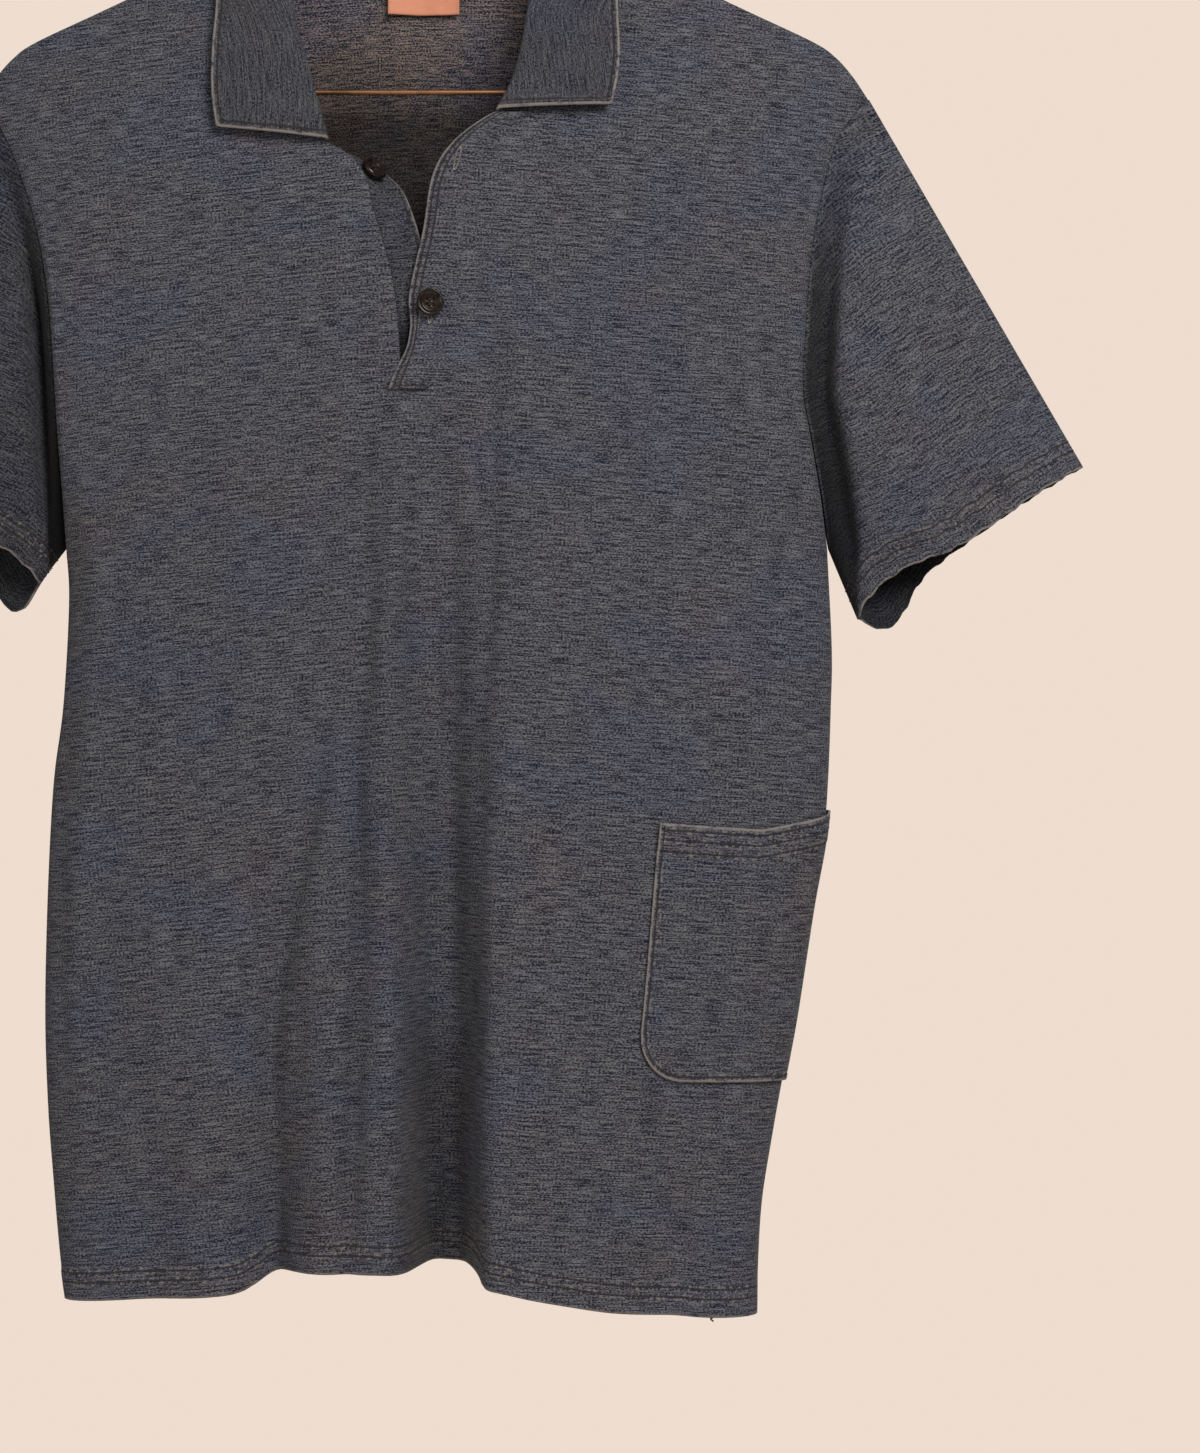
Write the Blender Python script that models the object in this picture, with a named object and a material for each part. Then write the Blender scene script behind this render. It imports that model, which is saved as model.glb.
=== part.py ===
"""A polo shirt hung on a bent-wire hanger.

Frame: +X is the viewer's right, -Y faces the viewer, +Z is up.  The origin is the inner top of
the hanger's hook, where a rail carries it.  Tables and named sizes are in millimetres, and the
meshes are in metres.  Every cloth piece is a grid of outer points with a Solidify wall inwards.
"""
from math import cos, pi, radians, sin

import bmesh
import bpy
import numpy as np
from mathutils import Vector

MM = 0.001

# ---------------------------------------------------------------- sizes (mm)
CLOTH = 1.8                 # wall of the knitted cloth
TRIM = 1.4                  # wall of the strips and the pocket
LABEL_WALL = 1.0
SEAM = 0.7                  # gap between two pieces at a seam
LAID = 0.6                  # gap between a piece and the panel it lies on
WIRE = 3.0                  # hanger wire, diameter
RIDGE = WIRE / 2 + 0.6 + CLOTH      # outer radius of the shoulder fold over the wire

ARM_TOP = -86.0             # height at which the two arms of the hanger meet
ARM_SLOPE = 0.47            # drop of an arm per mm sideways
BAR_HEIGHT = -205.0
BEND_RADIUS = 12.0          # of the hanger's two lower corners
HOOK_RADIUS = 20.0          # inside of the hook
HOOK_ANGLES = (205, -60)    # where the hook starts and ends, in degrees from +X
STEM_TOP = -53.0            # height at which the stem is straight
STEM_EASE = (0.3, 0.55, 0.8)    # shares of the way from the hook to there
ARM_START = 6.0             # distance from the stem at which the left arm starts
COIL_SPACING = WIRE + 0.5   # radius of the two turns round the stem
COIL_PITCH = WIRE + 0.6
COIL_FOOT = ARM_TOP + 8.0
COIL_STEPS = 27             # points of the coil, twelve a turn
ELBOW = 5.0                 # how far outside the coil the right arm turns up into it

NECK_ROWS = 6               # rows of a panel's grid along the neckline,
SLIT_ROWS = 7               # along the placket slit,
LOW_ROWS = 15               # and from the slit's foot to the hem
ARM_ROWS = NECK_ROWS + SLIT_ROWS
FRONT_COLUMNS = 20
BACK_COLUMNS = 16
CAP_ANGLES = (7.0, 13.0, 48.0)  # degrees from the top of the shoulder fold
EDGE_REST = (0.25, 1.6)     # distance from the side seam's plane of a panel's first two columns
SIDE_SLOPE = 0.3            # share of the way to the next column, for the second one
UNDERARM_DEPTH = 1.7        # depth below which a panel's side counts as side seam
PROFILE_POWER = 2.4         # of the superellipse across the body

# Shoulder line (x, z): the middle of the fold that lies over the wire, neck to armhole.
SHOULDER = ((72, -119.8), (120, -142.4), (170, -165.9), (204, -181.9), (215, -189.5),
            (223.5, -199.0), (231.5, -211.0))

# Armholes (x, depth, z) from the shoulder down to the underarm; depth is the distance in Y.
ARMHOLE_RIGHT = ((231.5, 3.9, -211), (215.2, 12, -238), (204.0, 18, -289), (199.8, 20, -339),
                 (199.0, 19, -366), (203.0, 16, -388), (209.0, 9, -420), (213.0, 1.6, -447))
ARMHOLE_LEFT = ((-231.5, 3.9, -211), (-216.0, 12, -240), (-203.5, 18, -276), (-196.5, 20, -312),
                (-193.5, 20, -350), (-191.5, 17, -390), (-190.0, 9, -424), (-189.5, 1.6, -447))

# Side seams (x, z) from the underarm to the hem.
SIDE_RIGHT = ((213, -447), (215.5, -500), (215, -530), (213.5, -570), (211, -600), (205, -633),
              (200, -665), (195, -697), (189, -729), (183.5, -760), (178.5, -792), (176.5, -824),
              (176, -850))
SIDE_LEFT = ((-189.5, -447), (-188, -475), (-191, -530), (-196, -570), (-199, -625),
             (-200.5, -690), (-199, -740), (-196, -780), (-193, -815), (-190, -842))

# Front neckline, slit edges and the line from the slit's foot to the hem (x, z).
NECK_FRONT_RIGHT = ((72, -119.8), (75, -141), (72, -168), (62, -197), (45, -219.4))
NECK_FRONT_LEFT = ((-72, -119.8), (-75, -143), (-75, -171), (-66.5, -204), (-54, -235.2))
SLIT_RIGHT = ((45, -219.4), (22.5, -237.6), (11.8, -255.4), (7, -284), (0.5, -313.7),
              (-4, -345), (-10.4, -366.7))
SLIT_LEFT = ((-54, -235.2), (-37.3, -244.2), (-28.4, -257.1), (-24.4, -274), (-15.5, -305.5),
             (-11.7, -335), (-10.4, -366.7))
CENTRE_FRONT = ((-10.4, -366.7), (-2, -392), (6, -440), (10, -540), (12, -680), (12, -822))
# Back neckline (x, depth, z) and the line from it to the hem (x, z).
NECK_BACK = ((72, 3.9, -119.8), (60, 15, -126), (36, 22, -132), (0, 25, -134))
CENTRE_BACK = ((0, -134), (0, -300), (2, -560), (2, -828))

HEM_FRONT_LEFT = ((-190, -842), (-150, -838.5), (-100, -834.5), (-87, -830.5), (-77, -825),
                  (-62, -822.5), (-15, -822), (12, -822))
HEM_FRONT_RIGHT = ((176, -850), (140, -847.5), (95, -843), (45, -832), (34, -829.5), (28, -823),
                   (12, -822))
HEM_BACK_LEFT = ((-190, -842), (-110, -836), (-60, -830), (2, -828))
HEM_BACK_RIGHT = ((176, -850), (110, -838), (60, -830), (2, -828))

# Depth of the body at its middle: height, front, back.
DEPTH = ((-119.8, 3.9, 3.9), (-134, 10, 25), (-165, 18, 27), (-200, 26, 29), (-229, 30, 31),
         (-300, 34, 34), (-362, 37, 37), (-450, 40, 40), (-600, 44, 43), (-850, 47, 46))

# Folds: x where it starts, x at the hem, start height, half width, depth at the hem (+ is a
# valley), the power by which it grows on the way down, and how much squarer it is at the hem.
FOLD_COLUMNS = ("x_start", "x_hem", "z_start", "width", "depth", "growth", "square")
FRONT_FOLDS = (
    (7, 13.5, -376, 15.5, 41, 0.8, 1.6),
    (-72, -78, -600, 14, 21, 1.1, 0),
    (-30, -34, -400, 22, -6, 0.8, 0),
    (54, 52, -420, 22, -6, 0.8, 0),
    (120, 126, -640, 20, 8, 1.2, 0),
    (-140, -140, -700, 18, 6, 1.2, 0),
)
BACK_FOLDS = (
    (62, 70, -420, 20, 26, 1.0, 0),
    (-70, -62, -460, 22, 24, 1.0, 0),
    (0, 4, -520, 22, -6, 1.0, 0),
    (-135, -138, -600, 16, 10, 1.1, 0),
    (135, 130, -640, 16, 9, 1.1, 0),
)
HEM_HEIGHT = -840.0

# Sleeve rings, as shares of the way from the armhole to the cuff.
SLEEVE_RINGS = (0, 0.03, 0.07, 0.115, 0.165, 0.225, 0.31, 0.44, 0.6, 0.8, 1)
# The trough that each layer of a sleeve sinks into beside the armhole: how far out it is deepest,
# its half widths towards the body and the cuff, and the share of the depth that it takes.
TROUGH = {("right", -1): (12.0, 8.0, 4.5, 0.58), ("right", 1): (12.0, 8.0, 7.0, 0.4),
          ("left", -1): (8.0, 4.5, 4.0, 0.64), ("left", 1): (11.0, 7.0, 7.0, 0.4)}
TROUGH_TURNS = (0.08, 0.45, 0.86, 0.99)     # shares round the armhole: none, full, full, none
# Cuffs (x, z) from the tip of the upper fold down to the underarm seam, front layer then back.
CUFF_RIGHT_FRONT = ((348.7, -403.3), (322, -419), (299.5, -434.6), (278.3, -448), (257, -456),
                    (242.7, -465), (233.2, -475.4), (229, -484))
CUFF_RIGHT_BACK = ((348.7, -403.3), (322, -420), (299.5, -435.7), (272, -456), (262.4, -467),
                   (254, -482), (243.8, -489.5), (229, -484))
CUFF_LEFT_FRONT = ((-344, -392), (-318, -406), (-288, -420), (-258, -431), (-233, -441),
                   (-219, -449), (-210, -457), (-204, -465))
CUFF_LEFT_BACK = ((-344, -392), (-318, -408), (-288, -424), (-258, -440), (-238, -458),
                  (-226, -476), (-215, -479), (-204, -465))
CUFF_DEPTH_FRONT = 15.0
CUFF_DEPTH_BACK = 21.0
SLEEVE_SWELL = 7.0          # extra depth half-way down a sleeve
SLEEVE_ROUND = 0.7          # power of the half sine that rounds a sleeve between its folds

# Collar: share of its length, fold (x, y, z), outer edge (x, y, z), left front end to right.
COLLAR = (
    (0.00, -47.8, -33.5, -236.5, -106.3, -33.5, -230.0),
    (0.07, -54.0, -31.5, -214.0, -109.0, -32.0, -210.2),
    (0.14, -60.6, -27.5, -190.5, -109.2, -27.5, -187.6),
    (0.21, -67.2, -21.5, -161.9, -108.1, -20.5, -161.7),
    (0.25, -64.5, -13.5, -116.5, -109.0, -18.5, -131.5),
    (0.285, -67.0, 0.0, -98.0, -107.5, 0.0, -125.5),
    (0.33, -62.0, 16.0, -98.0, -102.0, 17.0, -141.0),
    (0.41, -36.0, 29.0, -102.0, -62.0, 37.0, -154.0),
    (0.50, 0.0, 32.5, -104.0, 0.0, 39.5, -157.0),
    (0.59, 36.0, 29.0, -102.0, 62.0, 37.0, -154.0),
    (0.67, 62.0, 16.0, -98.0, 102.0, 17.0, -141.0),
    (0.715, 68.0, 0.0, -98.0, 106.0, 0.0, -125.5),
    (0.75, 64.2, -13.0, -119.5, 104.0, -15.5, -133.5),
    (0.80, 55.5, -21.5, -161.9, 102.2, -20.5, -161.7),
    (0.88, 51.2, -26.5, -188.3, 103.2, -27.5, -188.9),
    (0.94, 46.4, -29.5, -205.7, 101.6, -30.5, -206.0),
    (1.00, 38.7, -31.5, -220.7, 98.9, -32.5, -218.2),
)

COLLAR_SEAM = 0.9           # gap from the panels' neck edge to the collar's wall
COLLAR_EASE = 0.7           # more of it where the seam bends over the shoulder
COLLAR_ROLL = 2.3           # radius of the fold between the stand and the leaf
COLLAR_BOW = 1.4            # bow of the leaf between fold and edge
COLLAR_LEAN = 70.0          # most degrees that the stand leans before the roll starts
ROLL_STEPS = 5
LEAF_SHARES = (0.3, 0.6, 1)

STRIP_WIDTH = 24.0          # placket strips
TOP_COLUMNS = (0, 8)        # columns of the top strip between its borders
UNDER_COLUMNS = (0, 7, 14)  # and of the under strip
STRIP_LAP = 6.0             # how far the top strip's free edge passes the slit's edge
STRIP_TOP = -221.5          # height of the top strip's upper end, just under the collar
UNDER_LAP = 4.0             # how far the under strip reaches behind the left panel
# Share down the under strip, and the degrees by which it turns into the neck there.
UNDER_TURN = ((0, 80), (0.14, 68), (0.25, 36), (0.36, 8), (0.5, 0))
BUTTON = 14.0
BUTTON_THICK = 2.6
BUTTON_SIDES = 20
BUTTON_COLUMN = 2.2         # column of the under strip's grid at which the upper button sits
BUTTON_STANDOFF = 2.0       # length of the upper button's thread shank
BUTTON_LOWER = (5.1, -321.9)
BUTTON_TILT = 0.12          # sideways lean of the lower button
BUTTON_UPPER_ROW = 0.2      # share of the under strip's length at which the upper button sits

POCKET_FRONT_COLUMN = 10        # of the panel's grid: the pocket's inner edge on the front
POCKET_BACK_COLUMN = 5.2        # and its edge on the back
POCKET_TOP = (-590.7, -594.5, -585.0, -587.0)       # heights from the inner edge to the back
POCKET_BOTTOM = (-724.0, -725.5, -727.0, -727.0)
POCKET_CORNER = 26.0            # radius of its lower inner corner
POCKET_STEPS = 7                # rows of its grid
POCKET_FINE = 2                 # columns that are split in three, at its rounded corner

LABEL = (38.0, 19.0)
LABEL_SHIFT = -2.0
LABEL_TOP = -139.5
LABEL_BOW = 0.009           # curve of the label across, per mm

# Linear colours.
KNIT = (0.076, 0.074, 0.086)
LABEL_CLOTH = (0.93, 0.38, 0.22)
HORN = (0.02, 0.015, 0.014)
COPPER = (0.62, 0.40, 0.24)


# ---------------------------------------------------------------- curves
def smooth_curve(points):
    """Dense Catmull-Rom curve through the points."""
    p = np.asarray(points, float)
    ends = np.vstack([2 * p[0] - p[1], p, 2 * p[-1] - p[-2]])
    t = np.linspace(0, 1, 12, endpoint=False)[:, None]
    legs = [0.5 * (2 * b + (c - a) * t + (2 * a - 5 * b + 4 * c - d) * t**2
                   + (3 * b - a - 3 * c + d) * t**3)
            for a, b, c, d in zip(ends, ends[1:], ends[2:], ends[3:])]
    return np.vstack(legs + [p[-1:]])


def spread(points, shares):
    """Points at the given shares of a smooth curve's length."""
    dense = smooth_curve(points)
    steps = np.linalg.norm(np.diff(dense, axis=0), axis=1)
    length = np.concatenate([[0], np.cumsum(steps)])
    at = np.asarray(shares) * length[-1]
    return np.stack([np.interp(at, length, axis) for axis in dense.T], axis=1)


def evenly(count):
    return np.linspace(0, 1, count + 1)


def middle_depth(height, back):
    """Depth of the body's middle at a height, front or back."""
    table = np.array(DEPTH)[::-1]
    return np.interp(height, table[:, 0], table[:, 2 if back else 1])


def in_depth(points_xz, back):
    """(x, depth, z) for (x, z) points on the middle of the body."""
    p = np.asarray(points_xz, float)
    return np.stack([p[:, 0], middle_depth(p[:, 1], back), p[:, 1]], axis=1)


def fold_depth(x, z, folds):
    """Sum of the soft valleys and ridges at (x, z), inwards positive."""
    total = np.zeros_like(x)
    for row in folds:
        fold = dict(zip(FOLD_COLUMNS, row))
        down = np.clip((fold["z_start"] - z) / (fold["z_start"] - HEM_HEIGHT), 0, 1.05)
        centre = fold["x_start"] + (fold["x_hem"] - fold["x_start"]) * down
        off = np.abs(x - centre) / fold["width"]
        across = np.exp(-off ** (2 + fold["square"] * down))
        total += fold["depth"] * down ** fold["growth"] * across
    return total


# ---------------------------------------------------------------- body panels
def column_shares(columns):
    """Shares from the side seam to the middle: fine at both ends."""
    t = evenly(columns)
    return 0.35 * t + 0.65 * (1 - np.cos(pi * t)) / 2


def half_panel(side, middle, shoulder, hem, columns, folds, facing):
    """Outer points of one half of a panel, rows from the shoulder to the hem.

    side and middle are (x, depth, z) per row, shoulder and hem are (x, z) curves from the side
    to the middle.  x and z blend the four borders; the depth follows a superellipse from side to
    middle.  facing is -1 on the front and 1 on the back.
    """
    share = column_shares(columns)
    top = spread(shoulder, share)
    bottom = spread(hem, share)
    u = share[None, :, None]
    v = evenly(len(side) - 1)[:, None, None]
    left = side[:, None, [0, 2]]
    right = middle[:, None, [0, 2]]
    flat = ((1 - v) * top[None] + v * bottom[None] + (1 - u) * left + u * right
            - (1 - u) * ((1 - v) * top[0] + v * bottom[0])
            - u * ((1 - v) * top[-1] + v * bottom[-1]))
    profile = (1 - (1 - share) ** PROFILE_POWER) ** (1 / PROFILE_POWER)
    depth = side[:, 1:2] + (middle[:, 1:2] - side[:, 1:2]) * profile[None]
    x, z = flat[..., 0], flat[..., 1]
    fade = np.clip(profile, 0, 1) ** 2
    depth = depth - fold_depth(x, z, folds) * fade[None]
    points = np.stack([x, facing * depth, z], axis=2)
    return with_shoulder_cap(with_side_rest(points, facing))


def with_side_rest(points, facing):
    """Doubles the first column below the underarm, so that the seam's edge runs straight back."""
    first = points[:, :1].copy()
    second = points[:, :1].copy()
    rest = np.abs(first[:, 0, 1]) < UNDERARM_DEPTH
    first[rest, 0, 1] = facing * EDGE_REST[0]
    second[rest, 0, 1] = facing * EDGE_REST[1]
    toward = points[~rest, 1:2] - points[~rest, :1]
    second[~rest] += toward * SIDE_SLOPE
    return np.concatenate([first, second, points[:, 1:]], axis=1)


def with_shoulder_cap(points):
    """Adds the rows that bend over the hanger wire above the shoulder line."""
    line = points[0].copy()
    facing = np.sign(line[0, 1])
    along = np.gradient(line[:, [0, 2]], axis=0)
    up = np.stack([-along[:, 1], along[:, 0]], axis=1)
    up *= (np.sign(up[:, 1]) / np.linalg.norm(up, axis=1))[:, None]
    rows = []
    for angle in CAP_ANGLES:
        rise = RIDGE * cos(radians(angle))
        out = RIDGE * sin(radians(angle))
        row = line.copy()
        row[:, 0] += up[:, 0] * rise
        row[:, 2] += up[:, 1] * rise
        row[:, 1] = facing * out
        rows.append(row)
    return np.concatenate([np.array(rows), points], axis=0)


def side_border(armhole, side):
    """(x, depth, z) for each row of a panel's side: the armhole, then the side seam."""
    arm = spread(armhole, evenly(ARM_ROWS))
    seam = spread(side, evenly(LOW_ROWS))[1:]
    seam = np.stack([seam[:, 0], np.full(len(seam), EDGE_REST[1]), seam[:, 1]], axis=1)
    return np.vstack([arm, seam])


def front_middle(neck, slit):
    """(x, depth, z) for each row: neckline, slit edge, then the line to the hem."""
    border = np.vstack([spread(neck, evenly(NECK_ROWS)), spread(slit, evenly(SLIT_ROWS))[1:],
                        spread(CENTRE_FRONT, evenly(LOW_ROWS))[1:]])
    return in_depth(border, back=False)


def back_middle(sign):
    neck = spread(NECK_BACK, evenly(NECK_ROWS)) * (sign, 1, 1)
    line = in_depth(spread(CENTRE_BACK, evenly(SLIT_ROWS + LOW_ROWS))[1:], back=True)
    return np.vstack([neck, line])


def mirrored(curve):
    return tuple((-row[0], *row[1:]) for row in curve)


def body_grids():
    """The four half panels, keyed by panel and side."""
    shoulder = {"right": SHOULDER[::-1], "left": mirrored(SHOULDER[::-1])}
    side = {"right": side_border(ARMHOLE_RIGHT, SIDE_RIGHT),
            "left": side_border(ARMHOLE_LEFT, SIDE_LEFT)}
    front = {"right": (front_middle(NECK_FRONT_RIGHT, SLIT_RIGHT), HEM_FRONT_RIGHT),
             "left": (front_middle(NECK_FRONT_LEFT, SLIT_LEFT), HEM_FRONT_LEFT)}
    back = {"right": (back_middle(1), HEM_BACK_RIGHT), "left": (back_middle(-1), HEM_BACK_LEFT)}
    grids = {}
    for hand in ("left", "right"):
        middle, hem = front[hand]
        grids["front", hand] = half_panel(side[hand], middle, shoulder[hand], hem,
                                          FRONT_COLUMNS, FRONT_FOLDS, -1)
        middle, hem = back[hand]
        grids["back", hand] = half_panel(side[hand], middle, shoulder[hand], hem,
                                         BACK_COLUMNS, BACK_FOLDS, 1)
    return grids


# ---------------------------------------------------------------- meshes and objects
def material(name, colour, roughness, metallic=0.0):
    made = bpy.data.materials.new(name)
    made.use_nodes = True
    shader = made.node_tree.nodes["Principled BSDF"]
    shader.inputs["Base Color"].default_value = (*colour, 1.0)
    shader.inputs["Roughness"].default_value = roughness
    shader.inputs["Metallic"].default_value = metallic
    made.diffuse_color = (*colour, 1.0)
    return made


def sheet_mesh(name, grids, outward):
    """One mesh of the grids' faces, joined where points coincide, facing outward(point)."""
    mesh = bpy.data.meshes.new(name)
    bm = bmesh.new()
    for grid in grids:
        rows, columns = grid.shape[:2]
        verts = [bm.verts.new(p * MM) for p in grid.reshape(-1, 3)]
        for r in range(rows - 1):
            for c in range(columns - 1):
                a = r * columns + c
                bm.faces.new((verts[a], verts[a + 1], verts[a + columns + 1], verts[a + columns]))
    bmesh.ops.remove_doubles(bm, verts=bm.verts, dist=0.00002)
    bmesh.ops.recalc_face_normals(bm, faces=bm.faces)
    bm.normal_update()
    agreement = sum(f.normal.dot(outward(f.calc_center_median())) * f.calc_area()
                    for f in bm.faces)
    if agreement < 0:
        bmesh.ops.reverse_faces(bm, faces=bm.faces)
    bm.to_mesh(mesh)
    bm.free()
    mesh.shade_smooth()
    return mesh


def make(name, mesh, surface, wall=None):
    """An object with its material and, for cloth, a wall turned inwards."""
    thing = bpy.data.objects.new(name, mesh)
    bpy.context.collection.objects.link(thing)
    mesh.materials.append(surface)
    if wall:
        solid = thing.modifiers.new("wall", "SOLIDIFY")
        solid.thickness = wall * MM
        solid.offset = -1
        solid.use_even_offset = False
    return thing


def grid_normals(grid, away):
    """Unit normals of a grid, turned so that they agree with the away vector."""
    normal = np.cross(np.gradient(grid, axis=0), np.gradient(grid, axis=1))
    normal /= np.linalg.norm(normal, axis=2, keepdims=True)
    return normal * np.sign((normal * np.asarray(away)).sum(axis=2).mean())


def sample(grid, rows, columns):
    """Points of a grid between its rows and columns, for broadcast row and column numbers."""
    r = np.clip(np.floor(rows).astype(int), 0, grid.shape[0] - 2)
    c = np.clip(np.floor(columns).astype(int), 0, grid.shape[1] - 2)
    fr = (rows - r)[..., None]
    fc = (columns - c)[..., None]
    return ((1 - fr) * ((1 - fc) * grid[r, c] + fc * grid[r, c + 1])
            + fr * ((1 - fc) * grid[r + 1, c] + fc * grid[r + 1, c + 1]))


# ---------------------------------------------------------------- sleeves
def trough(grid, hand, border, layer, turn):
    """Share of its depth that one layer of a sleeve sinks by, beside the armhole's border."""
    side = 1 if hand == "right" else -1
    centre, inner, outer, share = TROUGH[hand, layer]
    out = side * (grid[..., 0] - np.interp(-grid[..., 2], -border[:, 2], border[:, 0])) - centre
    bell = np.exp(-(out / np.where(out < 0, inner, outer)) ** 2)
    return share * bell * np.interp(turn, TROUGH_TURNS, (0, 1, 1, 0))


def sleeve_grid(front, back, cuff_front, cuff_back, hand):
    """Rings from the armhole to the cuff, over the front and round the back, closed."""
    side = 1 if hand == "right" else -1
    cap = len(CAP_ANGLES)
    last = cap + ARM_ROWS
    border_front = front[1:last + 1, 0]
    border_back = back[1:last + 1, 0]
    top = (front[0, 0] + back[0, 0]) / 2
    foot = (border_front[-1] + border_back[-1]) / 2
    steps = np.linalg.norm(np.diff(np.vstack([top, border_front]), axis=0), axis=1)
    share = np.concatenate([[0], np.cumsum(steps)]) / steps.sum()
    arm = np.vstack([top, border_front[:-1], foot, border_back[-2::-1], top])
    turn = np.concatenate([share, share[-2::-1]])
    layer = np.concatenate([-np.ones(len(share)), np.ones(len(share) - 1)])
    bulge = np.sin(pi * turn) ** SLEEVE_ROUND
    front_edge = spread(cuff_front, share)
    back_edge = spread(cuff_back, share[-2::-1])
    edge = np.vstack([front_edge, back_edge])
    reach = np.where(layer < 0, CUFF_DEPTH_FRONT, CUFF_DEPTH_BACK)
    rounding = np.minimum(np.abs(arm[:, 1]), RIDGE)
    depth = ((reach * bulge) ** 3 + rounding**3) ** (1 / 3)
    cuff = np.stack([edge[:, 0], layer * depth, edge[:, 1]], axis=1)
    toward = cuff - arm
    toward /= np.linalg.norm(toward, axis=1, keepdims=True)
    start = np.array((side, 0, 0)) + 0.5 * toward
    arm = arm + SEAM * start / np.linalg.norm(start, axis=1, keepdims=True)
    k = np.array(SLEEVE_RINGS)[:, None, None]
    grid = (1 - k) * arm[None] + k * cuff[None]
    grid[..., 1] += SLEEVE_SWELL * np.sin(pi * k[..., 0]) * (layer * bulge)[None]
    begun = np.clip(k[..., 0] / SLEEVE_RINGS[2], 0, 1)
    for sign, border in ((-1, border_front), (1, border_back)):
        sunk = trough(grid, hand, border, sign, turn) * begun
        grid[..., 1] *= 1 - np.where(layer == sign, sunk, 0)
    return grid


def add_sleeve(name, grids, hand, cuff_front, cuff_back, surface):
    grid = sleeve_grid(grids["front", hand], grids["back", hand], cuff_front, cuff_back, hand)

    def outward(point):
        return Vector((0, point.y, 0))

    make(name, sheet_mesh(name, [grid], outward), surface, CLOTH)


# ---------------------------------------------------------------- collar
def neckline(grids):
    """Seam points, wall directions and inward directions round the neck, left end to right."""
    bend = len(CAP_ANGLES) - 1
    rows = bend + 1 + NECK_ROWS
    borders = {}
    for (panel, hand), grid in grids.items():
        normals = grid_normals(grid, (0, -1 if panel == "front" else 1, 0))
        inward = grid[:, -1] - grid[:, -2]
        inward /= np.linalg.norm(inward, axis=1, keepdims=True)
        borders[panel, hand] = np.stack([grid[:, -1], normals[:, -1], inward])

    def ridge(hand):
        middle = (borders["front", hand][:, 0] + borders["back", hand][:, 0]) / 2
        middle[1:] /= np.linalg.norm(middle[1:], axis=1, keepdims=True)
        return middle[:, None]

    left, right = borders["front", "left"], borders["front", "right"]
    stations = [left[:, rows:bend - 1:-1], ridge("left"),
                borders["back", "left"][:, bend:rows + 1],
                borders["back", "right"][:, rows - 1:bend - 1:-1], ridge("right"),
                right[:, bend:rows + 1]]
    return np.concatenate(stations, axis=1)


def collar_grid(grids):
    """Stations round the neck; each goes from the seam up the stand, over the fold and down."""
    seam, normal, inward = neckline(grids)
    steps = np.linalg.norm(np.diff(seam, axis=0), axis=1)
    share = np.concatenate([[0], np.cumsum(steps)]) / steps.sum()
    table = np.array(COLLAR)
    along = smooth_curve(table)
    fold = np.stack([np.interp(share, along[:, 0], along[:, i]) for i in (1, 2, 3)], axis=1)
    edge = np.stack([np.interp(share, along[:, 0], along[:, i]) for i in (4, 5, 6)], axis=1)
    stations = []
    rise = fold - seam
    rise /= np.linalg.norm(rise, axis=1, keepdims=True)
    tilt = np.clip((rise * normal).sum(axis=1, keepdims=True), 0, 1)
    bend = COLLAR_EASE * np.exp(-(seam[:, 1:2] / RIDGE / 2) ** 2)
    foot = seam + inward * (COLLAR_SEAM + bend + CLOTH * tilt) - normal * CLOTH
    run = np.gradient(fold, share, axis=0)
    for s, f, e, ahead in zip(foot, fold, edge, run):
        outward = (f - e) / np.linalg.norm(f - e)
        across = np.cross(outward, ahead)
        across /= np.linalg.norm(across)
        stand = f - s
        lean = np.clip(np.arctan2(stand.dot(across), stand.dot(outward)), 0, radians(COLLAR_LEAN))
        centre = f - COLLAR_ROLL * outward
        roll = [centre + COLLAR_ROLL * (sin(a) * outward - cos(a) * across)
                for a in np.linspace(lean, pi, ROLL_STEPS)]
        bow = (roll[-1] + e) / 2 + across * COLLAR_BOW
        leaf = spread((roll[-1], bow, e), LEAF_SHARES)
        stations.append(np.vstack([s, (s + roll[0]) / 2, *roll, leaf]))
    return np.array(stations)


# ---------------------------------------------------------------- placket, buttons, pocket, label
def slit_edge(grid):
    first = len(CAP_ANGLES) + NECK_ROWS
    return grid[first:first + SLIT_ROWS + 1, -1]


def placket_top_grid(grids):
    """Strip laid over the right half: from its free edge across to its inner stitched edge."""
    edge = slit_edge(grids["front", "right"])
    across = np.array((-STRIP_LAP, *TOP_COLUMNS, STRIP_WIDTH - STRIP_LAP))
    out = LAID + TRIM
    points = np.repeat(edge[:, None], len(across), axis=1)
    points[..., 0] += across[None]
    points[..., 1] -= out
    points[0, :, 2] = STRIP_TOP
    return points


def placket_under_grid(grids):
    """Strip behind the left half; its top end turns into the neck."""
    edge = slit_edge(grids["front", "left"])
    down = evenly(SLIT_ROWS)
    turn = np.radians(np.interp(down, *np.transpose(UNDER_TURN)))
    across = np.array((-UNDER_LAP, *UNDER_COLUMNS, STRIP_WIDTH - UNDER_LAP))
    points = np.repeat(edge[:, None], len(across), axis=1)
    reach = np.clip(across, 0, None)[None]
    points[..., 0] += np.clip(across, None, 0)[None] + reach * np.cos(turn)[:, None]
    points[..., 1] += CLOTH + LAID + reach * np.sin(turn)[:, None]
    return points


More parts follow.
